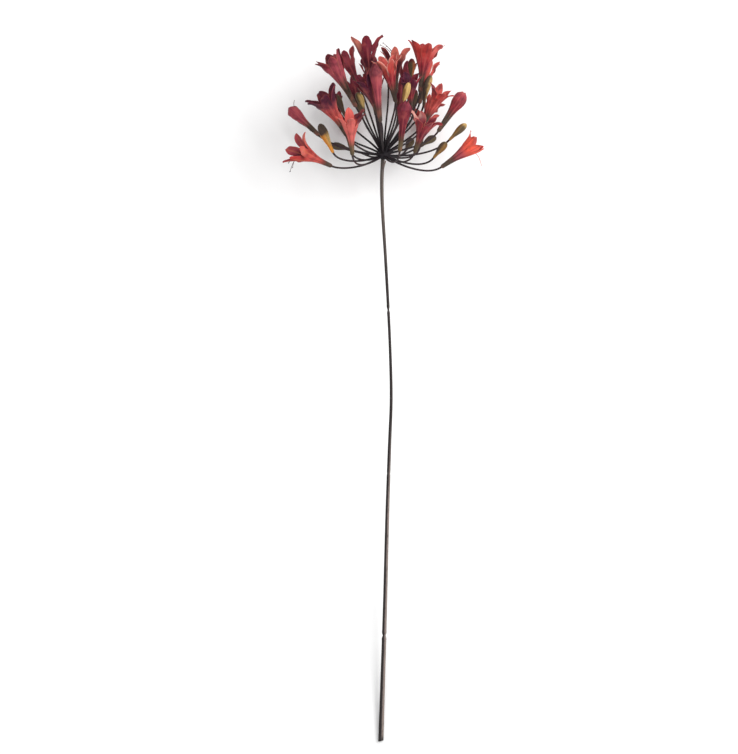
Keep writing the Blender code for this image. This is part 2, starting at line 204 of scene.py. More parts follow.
class Wire:
    """One output socket. Sums, differences and products of wires add Math nodes."""

    def __init__(self, finish, socket):
        self.finish = finish
        self.socket = socket

    def maths(self, operation, first, second):
        return self.finish.node("ShaderNodeMath", {"operation": operation}, {0: first, 1: second})

    def __add__(self, other):
        return self.maths("ADD", self, other)

    def __radd__(self, other):
        return self.maths("ADD", other, self)

    def __sub__(self, other):
        return self.maths("SUBTRACT", self, other)

    def __rsub__(self, other):
        return self.maths("SUBTRACT", other, self)

    def __mul__(self, other):
        return self.maths("MULTIPLY", self, other)

    def __rmul__(self, other):
        return self.maths("MULTIPLY", other, self)

    def rises(self, low, high):
        """0 up to low, 1 from high on, and an even curve between them."""
        sockets = {"Value": self, "From Min": low, "From Max": high}
        return self.finish.node("ShaderNodeMapRange", {"interpolation_type": "SMOOTHSTEP"}, sockets)


class Finish:
    """A material under construction."""

    def __init__(self, name):
        self.material = bpy.data.materials.new(name)
        self.material.use_nodes = True
        self.tree = self.material.node_tree
        self.shader = self.tree.nodes["Principled BSDF"]

    def node(self, kind, settings, sockets, output=0):
        """Adds a node: its settings first, then a value or a wire for each socket."""
        made = self.tree.nodes.new(kind)
        for name, value in settings.items():
            setattr(made, name, value)
        for name, value in sockets.items():
            if isinstance(value, Wire):
                self.tree.links.new(value.socket, made.inputs[name])
            else:
                made.inputs[name].default_value = value
        return Wire(self, made.outputs[output])

    def read(self, name):
        """A number that the mesh carries at each of its points."""
        return self.node("ShaderNodeAttribute", {"attribute_name": name}, {}, "Fac")

    def place(self):
        return self.node("ShaderNodeTexCoord", {}, {}, "Object")

    def cloud(self, where, scale, detail=2.0, roughness=0.5):
        sockets = {"Vector": where, "Scale": scale, "Detail": detail, "Roughness": roughness}
        return self.node("ShaderNodeTexNoise", {}, sockets, "Fac")

    def mix(self, under, over, amount):
        sockets = {0: amount, 6: under, 7: over}
        return self.node("ShaderNodeMix", {"data_type": "RGBA"}, sockets, 2)

    def layers(self, colour, *coats):
        """Paints coat over coat. Each is a colour and how much of it shows."""
        for over, amount in coats:
            colour = self.mix(colour, over, amount)
        return colour

    def set(self, values):
        """Settings that are the same all over."""
        for name, value in values.items():
            self.shader.inputs[name].default_value = value

    def let_light_in(self, weight, reach):
        """Lets a little light through, red further than green and blue."""
        depth = {"Subsurface Radius": reach, "Subsurface Scale": 1.0 * MM}
        self.set({"Subsurface Weight": weight, **depth})

    def skin(self, colour, roughness, height, strength, depth, gloss=0.5):
        """Plugs in what varies over the surface and returns the material."""
        bump = {"Height": height, "Strength": strength, "Distance": depth}
        normal = self.node("ShaderNodeBump", {}, bump, "Normal")
        plugs = {"Base Color": colour, "Roughness": roughness, "Normal": normal}
        for name, wire in plugs.items():
            self.tree.links.new(wire.socket, self.shader.inputs[name])
        self.set({"Specular IOR Level": gloss})
        return self.material


print("finishes are built from wires")

# %% [markdown]
# ## The colours
# The head runs from nearly black purple through wine and crimson to coral and pale blush,
# with olive and straw on the tubes and buds. Real petals repeat a few pigments, so each
# floret picks its coats by name from one short list instead of having colours of its own.

# %% Pigments


def pigment(red, green, blue):
    """A screen colour, 0 to 255, as the linear colour that a shader takes."""
    linear = []
    for value in (red, green, blue):
        share = value / 255
        linear.append(share / 12.92 if share <= 0.04045 else ((share + 0.055) / 1.055) ** 2.4)
    return (*linear, 1.0)


PIGMENTS = {
    "soot": pigment(24, 12, 18),
    "plum": pigment(66, 10, 40),
    "burgundy": pigment(72, 10, 26),
    "wine": pigment(106, 27, 44),
    "mauve": pigment(102, 40, 50),
    "crimson": pigment(140, 37, 50),
    "red": pigment(170, 50, 47),
    "coral": pigment(192, 78, 72),
    "peach": pigment(203, 96, 90),
    "flame": pigment(238, 92, 70),
    "rose": pigment(150, 61, 74),
    "salmon": pigment(212, 112, 98),
    "shell": pigment(228, 138, 118),
    "blush": pigment(220, 172, 158),
    "tan": pigment(190, 112, 64),
    "olive": pigment(90, 76, 54),
    "umber": pigment(76, 62, 52),
    "straw": pigment(196, 162, 100),
    "ochre": pigment(214, 140, 54),
    "bronze": pigment(132, 96, 52),
}


def pick(names):
    return [PIGMENTS[name] for name in names.split(", ")]


print("pigments:", len(PIGMENTS))

# %% [markdown]
# ## Sheets, tubes and smooth tables
# A petal, a bud and a stalk are all one sheet of quads bent into place, so one helper
# lays a grid and moves every point. A table of a few measured values, read along a
# smooth line, gives each of them its changing thickness.

# %% Helpers for shapes
WELD = 0.01 * MM


def smooth(value):
    """0 to 1 with level ends."""
    value = min(max(value, 0.0), 1.0)
    return value * value * (3 - 2 * value)


def mm(point):
    return Vector(point) * MM


def read_table(knots, at):
    """The value at a place, on a smooth line through (place, value) pairs."""
    last = len(knots) - 1
    index = 0
    while index < last - 1 and knots[index + 1][0] < at:
        index += 1
    (place_a, value_a), (place_b, value_b) = knots[index], knots[index + 1]
    before = knots[max(index - 1, 0)]
    after = knots[min(index + 2, last)]
    slope_a = (value_b - before[1]) / (place_b - before[0])
    slope_b = (after[1] - value_a) / (after[0] - place_a)
    span = place_b - place_a
    part = min(max((at - place_a) / span, 0.0), 1.0)
    rest = 1 - part
    return (
        value_a * (1 + 2 * part) * rest * rest
        + value_b * part * part * (3 - 2 * part)
        + span * slope_a * part * rest * rest
        - span * slope_b * part * part * rest
    )


def add_sheet(bm, columns, rows, place, marks=()):
    """A grid of quads. place(column, row) gives a point and its value for each mark."""
    made = bmesh.ops.create_grid(bm, x_segments=columns, y_segments=rows, size=0.5)
    kept = bm.verts.layers
    layers = [kept.float.get(mark) or kept.float_vector.get(mark) for mark in marks]
    for vert in made["verts"]:
        column = round((vert.co.x + 0.5) * columns)
        row = round((vert.co.y + 0.5) * rows)
        point, *values = place(column, row)
        vert.co = point
        for layer, value in zip(layers, values):
            vert[layer] = value
    return made["verts"]


def new_mesh(*marks, arrows=False):
    """An empty bmesh whose points carry a number for each mark, and arrows inwards."""
    bm = bmesh.new()
    for mark in marks:
        bm.verts.layers.float.new(mark)
    if arrows:
        bm.verts.layers.float_vector.new("inwards")
    return bm


def weld(bm):
    bmesh.ops.remove_doubles(bm, verts=bm.verts, dist=WELD)


def close_up(bm):
    """Fills the open ends and turns every face outwards."""
    weld(bm)
    bmesh.ops.holes_fill(bm, edges=bm.edges, sides=0)
    bmesh.ops.recalc_face_normals(bm, faces=bm.faces)


def give_wall(bm, thickness):
    """Copies the skin, moves the copy along its arrows and closes the rim between them."""
    outer = set(bm.verts)
    bmesh.ops.extrude_face_region(bm, geom=bm.faces[:], use_keep_orig=True)
    arrows = bm.verts.layers.float_vector["inwards"]
    inner = [vert for vert in bm.verts if vert not in outer]
    for vert in inner:
        vert.co += vert[arrows] * thickness
    bmesh.ops.recalc_face_normals(bm, faces=bm.faces)
    return inner


def add_tube(bm, path, radii, sides, marks=(), values=None):
    """A round tube along path that doesn't twist on the way."""
    side = (path[1] - path[0]).orthogonal().normalized()
    frames = []
    for index in range(len(path)):
        before = path[max(index - 1, 0)]
        after = path[min(index + 1, len(path) - 1)]
        ahead = (after - before).normalized()
        side = (side - ahead * side.dot(ahead)).normalized()
        frames.append((side, ahead.cross(side)))

    def place(column, row):
        angle = math.tau * column / sides
        out, other = frames[row]
        point = path[row] + (out * math.cos(angle) + other * math.sin(angle)) * radii[row]
        return (point, *(values[row] if values else ()))

    return add_sheet(bm, sides, len(path) - 1, place, marks)


def add_piece(name, bm, finish, slot, *nodes):
    """Lays a standing mesh down with the flower and hands it to the frame."""
    arrows = bm.verts.layers.float_vector.get("inwards")
    if arrows:
        bm.verts.layers.float_vector.remove(arrows)
    bmesh.ops.transform(bm, matrix=laid, verts=bm.verts)
    obj = as_object(name, bm)
    obj.data.shade_smooth()
    obj.data.materials.append(finish)
    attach(obj, "root")
    if nodes:
        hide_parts(*nodes)
    return obj


print("helpers ready")

# %% [markdown]
# ## Where the florets and buds stand
# Every floret has a base, where its pedicel ends, and a mouth, the middle of its open
# end, both in millimetres from the hub. With the angles of its throat and its flare they
# give its whole shape, so one table describes all twenty-eight.

# %% The florets
# Each floret: slot, base, middle of the mouth (mm), throat, flare and roll (degrees)
FLORETS = (
    ("coral", (-60, -13, 20), (-100, 4, 42), 21, 80, 8),
    ("red", (67, -12.6, 0), (108, 15, 6), 15, 22, 24),
    ("rose", (-74, 24, -10), (-107, 55, -22), 17, -78, 0),
    ("burgundy", (-42, 20, 45), (-70, 65, 58), 20, 62, 0),
    ("coral", (-35, -2, 62), (-38, 43, 77), 21, 42, 4),
    ("wine", (-32, 54, 30), (-62, 109, 40), 14, 44, 0),
    ("wine", (-26, 74, 0), (-46, 118, 0), 15, 40, 0),
    ("wine", (-14, 75, 25), (-20, 132, 30), 19, 46, 0),
    ("rose", (-6, 42, 50), (-23, 85, 66), 18, 30, 25),
    ("rose", (-4, 35, 62), (-10, 96, 82), 10, -6, 0),
    ("coral", (13, 58, 47), (2, 105, 60), 17, 42, 20),
    ("red", (14, 73, -12), (13, 121, -16), 19, 56, 0),
    ("red", (41, 71, 22), (48, 125, 26), 21, 58, 8),
    ("coral", (41, 60, -2), (53, 108, -4), 12, 22, 0),
    ("burgundy", (30, 50, 41), (29, 84, 59), 18, 45, 20),
    ("coral", (47, 37, 35), (66, 72, 48), 16, 50, 18),
    ("wine", (35, 1, 58), (48, 38, 73), 21, 66, 26),
    ("burgundy", (18, 2, 69), (24, 55, 85), 15, -10, 0),
    ("rose", (63, 29, -12), (92, 72, -20), 18, -78, 20),
    ("rose", (24, 68, -40), (27, 108, -46), 16, 30, 0),
    ("wine", (-37, 11, -58), (-43, 50, -80), 19, 40, 20),
    ("wine", (42, 14, -55), (48, 51, -80), 19, 40, 10),
    ("burgundy", (-46, 33, -38), (-60, 71, -54), 17, 25, 0),
    ("coral", (45, 34, -34), (58, 66, -50), 17, 28, 20),
    ("burgundy", (-26, 52, -36), (-37, 90, -50), 17, 30, 10),
    ("wine", (-8, 50, -52), (-13, 92, -74), 18, 40, 30),
    ("wine", (17, 50, -54), (22, 90, -76), 18, 40, 0),
    ("burgundy", (-9, 66, -26), (-14, 110, -38), 19, 38, 15),
)
# Florets that open less on one side: the way that side faces, and how much less (degrees)
HELD_SHUT = {
    1: ((0.4, -1, 0.2), 75),
    2: ((0.4, -1, 0), 25),
    6: ((1, 0.2, 0), 45),
}
print("florets:", len(FLORETS))

# %% The buds
# Each bud: slot, base, tip (mm from the hub) and radius (mm)
BUDS = (
    ("ochre", (-57.6, 3.4, 15), (-72, 34, 20), 5.2),
    ("olive", (-38, 9, -45), (-60, 15, -60), 4.4),
    ("olive", (-43.7, 44, 15), (-55, 68, 18), 4.4),
    ("olive", (-22, 48, 10), (-30, 70, 10), 4.4),
    ("ochre", (20, 48, 60), (28, 76, 72), 4.0),
    ("olive", (45, 55, 24), (53, 88, 27), 4.4),
    ("olive", (26, 9, -48), (33, 22, -68), 4.8),
    ("olive", (43.5, 13, -40), (60, 24, -55), 4.4),
    ("olive", (75, 18, -9), (94, 36, -10), 4.2),
    ("ochre", (57, -3, 7), (71, 14, 9), 4.4),
    ("olive", (32, 85, -6), (32, 110, -8), 4.2),
    ("olive", (34, 50, 2), (36, 74, 2), 4.2),
    ("olive", (-82, 31, -42), (-100, 48, -54), 4.6),
    ("olive", (-5, 58, -43), (-7, 82, -58), 4.4),
    ("olive", (6, 80, -38), (7, 104, -50), 4.2),
)


class Bud:
    """Where one bud stands."""

    def __init__(self, row):
        self.slot, base, tip, radius = row
        self.base = mm(base)
        self.tip = mm(tip)
        self.radius = radius * MM
        self.axis = (self.tip - self.base).normalized()
        self.length = (self.tip - self.base).length


buds = [Bud(row) for row in BUDS]
print("buds:", len(buds))

# %% [markdown]
# ## The shape of a petal
# An agapanthus floret is a tube that widens to a throat and parts into six lobes, three
# inner and three outer. A petal could be sculpted by hand, but then the six would have to
# be matched to each other. Here a spot on a petal is two numbers, its distance from the
# base and its distance from the midline, and a formula bends that flat leaf into place.

# %% Measures of a floret
PETALS = 6
TUBE_RADIUS = 2.4 * MM
TUBE_SPREAD = math.radians(3)
TUBE_SHARE = 0.15
THROAT_SHARE = 0.35
FLARE_END = 1.15
# Where the lobes part, where the wall starts to turn out, and how much is tube
OPEN = (0.58, 0.58, TUBE_SHARE)
CLOSED = (0.78, 0.6, 0.3)
HALF_SECTOR = math.pi / PETALS
LOBE_WIDEST = 0.4
INNER_LOBE_WIDTH = 0.196
OUTER_LOBE_WIDTH = 0.170
LOBE_GAP = 0.55 * MM
LOBE_GAP_SHARE = 0.2
LOBE_ROUND = 15 * MM
LOBE_FREE = 0.35
LOBE_STRETCH = (0.95, 1.03)
TIP_CURVE = 2.1
TIP_FULLNESS = 0.7
PROFILE_STEPS = 48
SLOPE_STEP = 0.02
FLARE_CHANGE = 9
FLARE_STEP = 4
FLARE_TRIES = 22
NEIGHBOUR_GAP = 1.5 * MM
NEIGHBOUR_REACH = 70 * MM
TESTED_PARTS = (0.35, 0.6, 0.8, 1.0)


def petal_profile(throat, turn, flare, tube_share):
    """(radius, height) at each step of s, for a wall one unit long."""
    radius, height = 0.0, 0.0
    steps = [(radius, height)]
    for step in range(PROFILE_STEPS):
        s = (step + 0.5) / PROFILE_STEPS
        spread = TUBE_SPREAD + (throat - TUBE_SPREAD) * smooth((s - tube_share) / THROAT_SHARE)
        spread += (flare - throat) * smooth((s - turn) / (FLARE_END - turn))
        radius += math.sin(spread) / PROFILE_STEPS
        height += math.cos(spread) / PROFILE_STEPS
        steps.append((radius, height))
    return steps


def read_profile(steps, s):
    place = min(s, 1.0) * PROFILE_STEPS
    index = min(int(place), PROFILE_STEPS - 1)
    part = place - index
    radius = steps[index][0] * (1 - part) + steps[index + 1][0] * part
    height = steps[index][1] * (1 - part) + steps[index + 1][1] * part
    return radius, height


def lobe_half_width(along, start, widest):
    """Half the width of a lobe, from where it parts (0) to its round tip (1)."""
    if along < LOBE_WIDEST:
        return start + (widest - start) * smooth(along / LOBE_WIDEST)
    beyond = (along - LOBE_WIDEST) / (1 - LOBE_WIDEST)
    return widest * max(1 - beyond**TIP_CURVE, 0.0) ** TIP_FULLNESS


def distance_to(point, start, end):
    """Distance from a point to a straight axis between two ends."""
    nearest, part = intersect_point_line(point, start, end)
    if part < 0:
        nearest = start
    elif part > 1:
        nearest = end
    return (point - nearest).length


def lay_on_floor(point):
    """A point that would sink into the floor lies on it instead."""
    height = HUB_HEIGHT + point.dot(UP)
    return point - UP * height if height < 0 else point


print("a petal parts from the tube at", OPEN[0], "of its length")

# %% [markdown]
# ## What makes a petal look grown
# Six copies of a smooth formula look moulded. A grown petal has a keel down its middle,
# a groove where it meets the next one, a margin that waves, a slight twist and a tip that
# curls. All of these are small moves in or out of the smooth surface, added up in one
# function, and each floret draws its own amounts from a seeded list so they stay put.
# Half-open florets fold their tips in, and shut ones are round clubs.

# %% Relief of a petal
KEEL_WIDTH = 0.16
KEEL_HEIGHT = 0.35 * MM
SEAM_DEPTH = 0.6 * MM
SEAM_POWER = 5
EDGE_POWER = 2.5
EDGE_WAVE = (0.5 * MM, 1.1 * MM)
EDGE_TURNS = (1.1, 2.0)
TIP_START = 0.62
TIP_CURL = (-1.0 * MM, 2.2 * MM)
TWIST = 0.24
CHANNEL = (0.05, 0.3)
EDGE_THINNER = 0.55
CHANNEL_POWER = 1.6
EDGES_APART = 2.2
OUTER_STANDS_OFF = 0.5 * MM
CLOSED_CALM = 0.25
CLOSED_OVERLAP = 1.12
FOLD_IN = 0.62
FOLD_FROM = 0.15
SHUT_FLARE = -40
SHUT_TIP = 5
SWELL = 3
STAND_OFF = 4
# Lobes are this much broader than the solids', whose lobes keep a gap between them
FULLER = 1.14
BROAD_LOBES = {4: 1.28, 11: 1.25, 13: 1.3, 15: 1.4}
print("broad lobes on florets", list(BROAD_LOBES))

# %% The surface of a floret


class Floret:
    """Where one floret stands, and the surface of its six petals."""

    def __init__(self, number, row):
        self.number = number
        self.slot, base, mouth, self.throat, self.flare, roll = row
        self.base = mm(base)
        self.mouth = mm(mouth)
        self.axis = (self.mouth - self.base).normalized()
        self.closed = self.flare < 0
        self.shut = self.flare < SHUT_FLARE
        self.split, self.turn, self.tube_share = CLOSED if self.closed else OPEN
        steps = self.opened(self.flare)
        self.length = (self.mouth - self.base).length / steps[-1][1]
        self.spread = TUBE_RADIUS + self.length * max(radius for radius, height in steps)
        toward_front = (FRONT - self.axis * FRONT.dot(self.axis)).normalized()
        self.side = Matrix.Rotation(math.radians(roll), 3, self.axis) @ toward_front
        self.draw = random.Random(number)
        change = 0 if self.closed else FLARE_CHANGE
        self.wish = [self.flare + more for more in self.six(-change, change)]
        self.stretch = self.six(*LOBE_STRETCH)
        facing, less = HELD_SHUT.get(number, (FRONT, 0))
        facing = Vector(facing).normalized()
        for petal in range(PETALS):
            self.wish[petal] -= less * max(self.spoke(petal).dot(facing), 0.0)
        self.profiles = [self.opened(flare) for flare in self.wish]
        self.wave = self.six(*EDGE_WAVE)
        self.turns = self.six(*EDGE_TURNS)
        self.phase = self.six(0, math.tau)
        self.curl = self.six(*TIP_CURL)
        self.twist = self.six(-TWIST, TWIST)
        self.channel = self.six(*CHANNEL)

    def six(self, low, high):
        """One seeded number for each petal."""
        return [self.draw.uniform(low, high) for _ in range(PETALS)]

    def opened(self, flare):
        throat, flare = math.radians(self.throat), math.radians(flare)
        return petal_profile(throat, self.turn, flare, self.tube_share)

    def spoke(self, petal):
        azimuth = math.tau * petal / PETALS
        return self.side * math.cos(azimuth) + self.axis.cross(self.side) * math.sin(azimuth)

    def relief(self, petal, s, across, half_width):
        """How far a spot stands in from the smooth surface."""
        part = max(s - self.split, 0.0) / (1 - self.split)
        free = smooth(part / LOBE_FREE)
        reach = abs(across)
        keel = math.exp(-((across / KEEL_WIDTH) ** 2)) * smooth(s / THROAT_SHARE)
        seam = reach**SEAM_POWER * smooth(s / TUBE_SHARE) * (1 - free)
        swing = math.tau * self.turns[petal] * part + self.phase[petal]
        swing += 0 if across < 0 else EDGES_APART
        wave = self.wave[petal] * math.sin(swing) * reach**EDGE_POWER
        lean = self.twist[petal] * across + self.channel[petal] * reach**CHANNEL_POWER
        tip = self.curl[petal] * smooth((part - TIP_START) / (1 - TIP_START))
        height = SEAM_DEPTH * seam - KEEL_HEIGHT * keel * (1 - part**3)
        if petal % 2 == 0:
            height -= OUTER_STANDS_OFF * smooth(STAND_OFF * part)
        if self.closed:
            return height + free * wave * CLOSED_CALM
        return height + free * (wave + lean * half_width) - tip

    def spot(self, petal, s, across, steps, fuller=False):
        """A point of the smooth wall, the arrow inwards there, and half the width."""
        spoke = self.spoke(petal)
        sideways = self.axis.cross(spoke)
        part = max(s - self.split, 0.0) / (1 - self.split)
        reached = s if s <= self.split else self.split + (s - self.split) * self.stretch[petal]
        radius, height = read_profile(steps, reached)
        radius = TUBE_RADIUS + radius * self.length
        height *= self.length
        if fuller and self.closed and not self.shut:
            radius *= 1 - FOLD_IN * smooth((part - FOLD_FROM) / (1 - FOLD_FROM))
        upper = min(reached + SLOPE_STEP, 1.0)
        ahead = read_profile(steps, upper)
        behind = read_profile(steps, upper - 2 * SLOPE_STEP)
        rise = math.atan2(ahead[0] - behind[0], ahead[1] - behind[1])
        free = smooth(part / LOBE_FREE)
        tilt = rise * free
        inward = self.axis * math.sin(tilt) - spoke * math.cos(tilt)
        bend = radius + (LOBE_ROUND - radius) * free if radius < LOBE_ROUND else radius
        half_width = radius * HALF_SECTOR
        if part > 0 and fuller and self.closed:
            overlap = 1 + (CLOSED_OVERLAP - 1) * smooth(SWELL * part)
            half_width *= overlap * math.sqrt(1 - part**SHUT_TIP)
        elif part > 0:
            widest = (INNER_LOBE_WIDTH if petal % 2 else OUTER_LOBE_WIDTH) * self.length / 2
            parting = read_profile(steps, self.split)[0] * self.length
            start = (TUBE_RADIUS + parting) * HALF_SECTOR
            room = half_width - LOBE_GAP * smooth(part / LOBE_GAP_SHARE)
            grown = BROAD_LOBES.get(self.number, FULLER) if fuller else 1
            half_width = min(lobe_half_width(part, start, widest), max(room, 0.0))
            half_width *= 1 + (grown - 1) * smooth(SWELL * part)
        turn = across * half_width / bend
        offset = sideways * (bend * math.sin(turn)) + inward * (bend * (1 - math.cos(turn)))
        arrow = inward * math.cos(turn) - sideways * math.sin(turn)
        return self.base + self.axis * height + spoke * radius + offset, arrow, half_width

    def shaped(self, petal, s, across):
        """The same with its relief, and how thick the wall is there, 0 to 1."""
        steps = self.profiles[petal]
        point, arrow, half_width = self.spot(petal, s, across, steps, fuller=True)
        free = smooth((s - self.split) / (LOBE_FREE * (1 - self.split)))
        thick = 1 - EDGE_THINNER * abs(across) ** 3 * free
        return point + arrow * self.relief(petal, s, across, half_width), arrow * thick

    def clears(self, petal, steps, others, near_buds):
        """Whether a petal this open stays on its own side of each neighbour."""
        for part in TESTED_PARTS:
            s = self.split + (1 - self.split) * part
            for across in (-1, 0, 1):
                point = self.spot(petal, s, across, steps)[0]
                own = distance_to(point, self.base, self.mouth)
                for other in others:
                    theirs = distance_to(point, other.base, other.mouth) - NEIGHBOUR_GAP
                    if own * other.spread > theirs * self.spread:
                        return False
                for bud in near_buds:
                    if distance_to(point, bud.base, bud.tip) < bud.radius + NEIGHBOUR_GAP:
                        return False
        return True

    def open_petals(self, others):
        """Each petal opens as far as it wants to, or as its neighbours let it."""
        if self.closed:
            return
        near = [other for other in others if other is not self]
        near = [other for other in near if (other.mouth - self.mouth).length < NEIGHBOUR_REACH]
        near_buds = [bud for bud in buds if (bud.tip - self.mouth).length < NEIGHBOUR_REACH]
        for petal in range(PETALS):
            flare = self.wish[petal]
            for _ in range(FLARE_TRIES):
                if self.clears(petal, self.opened(flare), near, near_buds):
                    break
                flare -= FLARE_STEP
            self.profiles[petal] = self.opened(flare)


florets = [Floret(number, row) for number, row in enumerate(FLORETS, 1)]
for floret in florets:
    floret.open_petals(florets)
print("lengths in mm:", [round(floret.length / MM) for floret in florets])

# %% [markdown]
# ## The petals' finish
# A floret changes colour along its length: an olive or brown tube, a darker body, bright
# lobes, often a second colour on one side, and a tip of its own. A paler rim on the lobes
# is partly the petal's own margin and partly a painted highlight where light catches the
# edge. The mesh tells the shader how far along and how far across a spot is, and a soft
# cloud moves each boundary so no ring shows. Fine lengthwise streaks give the veins, in
# colour and bump. The keel of each petal is painted a little paler, a painted highlight,
# and the groove beside it is painted dark, a painted shade, as light and shade would
# fall on them.

# %% Finish of a floret
VEIN_ACROSS = 7.0
VEIN_ALONG = 0.9
VEIN_SCALE = 2.6
CLOUD_SCALE = 95.0
SPECK_SCALE = 900.0
GRAIN_DEPTH = 0.25 * MM
PETAL_GLOSS = 0.22
TUBE_BLUR = 0.13
LOBE_BLUR = 0.14
# Soot and salmon shares of the dark and pale tones, then how strong the painted highlight on keel ridges
# and the painted shade in seams are
SOOT_TONE_AND_SHADE = 0.6
SALMON_TONE_AND_HIGHLIGHT = 0.34
SEAM_PAINTED_SHADE = 0.85
RIDGE_PAINTED_HIGHLIGHT = 0.7


def petal_finish(name, coats, split, tube_share, rim_share=0.3, tip_share=0.3):
    """coats: tube, body, lobe, second colour, inside, tip, rim and midline."""
    tube, body, lobe, second, inner, tip, rim, midline = pick(coats)
    finish = Finish(name)
    along, across, shade, inside = map(finish.read, ("along", "across", "shade", "inside"))
    where = finish.place()
    cloud = finish.cloud(where, CLOUD_SCALE)
    speck = finish.cloud(where, SPECK_SCALE)
    flat = {"X": across * VEIN_ACROSS, "Y": along * VEIN_ALONG, "Z": inside + shade * 2}
    veins = finish.cloud(finish.node("ShaderNodeCombineXYZ", {}, flat), VEIN_SCALE, 3.0, 0.6)
    drift = along + (cloud - 0.5) * 0.2 + (veins - 0.5) * 0.12
    gathered = shade + (cloud - 0.5) * 0.5 + (veins - 0.5) * 0.3
    # Partly painted highlight: a paler rim along the lobe margins, partly the petal's own edge colour
    # and partly where light catches the edge.
    edge = (across + (cloud - 0.5) * 0.4).rises(0.70, 1.0) * along.rises(0.5, 0.72)
    keel = 1 - across.rises(0.03, 0.2)
    colour = finish.layers(
        tube,
        (body, drift.rises(tube_share - TUBE_BLUR, tube_share + TUBE_BLUR)),
        (lobe, drift.rises(split - LOBE_BLUR, split + LOBE_BLUR)),
        (inner, inside * drift.rises(0.30, 0.52)),
        (second, gathered.rises(0.60, 0.92) * drift.rises(0.36, 0.7)),
        (tip, drift.rises(0.78, 1.0) * tip_share),
        (rim, edge * rim_share),
        (midline, keel * drift.rises(0.35, 0.6) * 0.42),
    )
    # Dark and pale versions of the colour, used for random tone and veins, and also for the painted
    # shade and painted highlight below.
    dark_tone_and_shade = finish.mix(colour, PIGMENTS["soot"], SOOT_TONE_AND_SHADE)
    pale_tone_and_highlight = finish.mix(colour, PIGMENTS["salmon"], SALMON_TONE_AND_HIGHLIGHT)
    # Painted highlight on the ridge along each keel, and painted shade in the seam where two petals meet
    # on the tube.
    painted_ridge_highlight = (1 - across.rises(0.0, 0.35)) * along.rises(0.2, 0.4) * (1 - along.rises(0.6, 0.8))
    seam = across.rises(0.66, 1.0) * along.rises(0.12, 0.3) * (1 - along.rises(0.50, 0.62))
    colour = finish.layers(
        colour,
        (pale_tone_and_highlight, (1 - veins.rises(0.30, 0.46)) * along.rises(0.2, 0.6) * 0.6),
        (dark_tone_and_shade, veins.rises(0.50, 0.74) * 0.5),
        (dark_tone_and_shade, cloud.rises(0.48, 0.68) * 0.65),
        (pale_tone_and_highlight, (1 - cloud).rises(0.50, 0.70) * 0.6),
        (pale_tone_and_highlight, painted_ridge_highlight * RIDGE_PAINTED_HIGHLIGHT),
        (dark_tone_and_shade, seam * SEAM_PAINTED_SHADE),
    )
    finish.let_light_in(0.05, (1.0, 0.35, 0.2))
    rough = 0.52 + speck * 0.22
    return finish.skin(colour, rough, veins + speck * 0.25, 0.5, GRAIN_DEPTH, PETAL_GLOSS)


print("veins, ridges and seams ready")

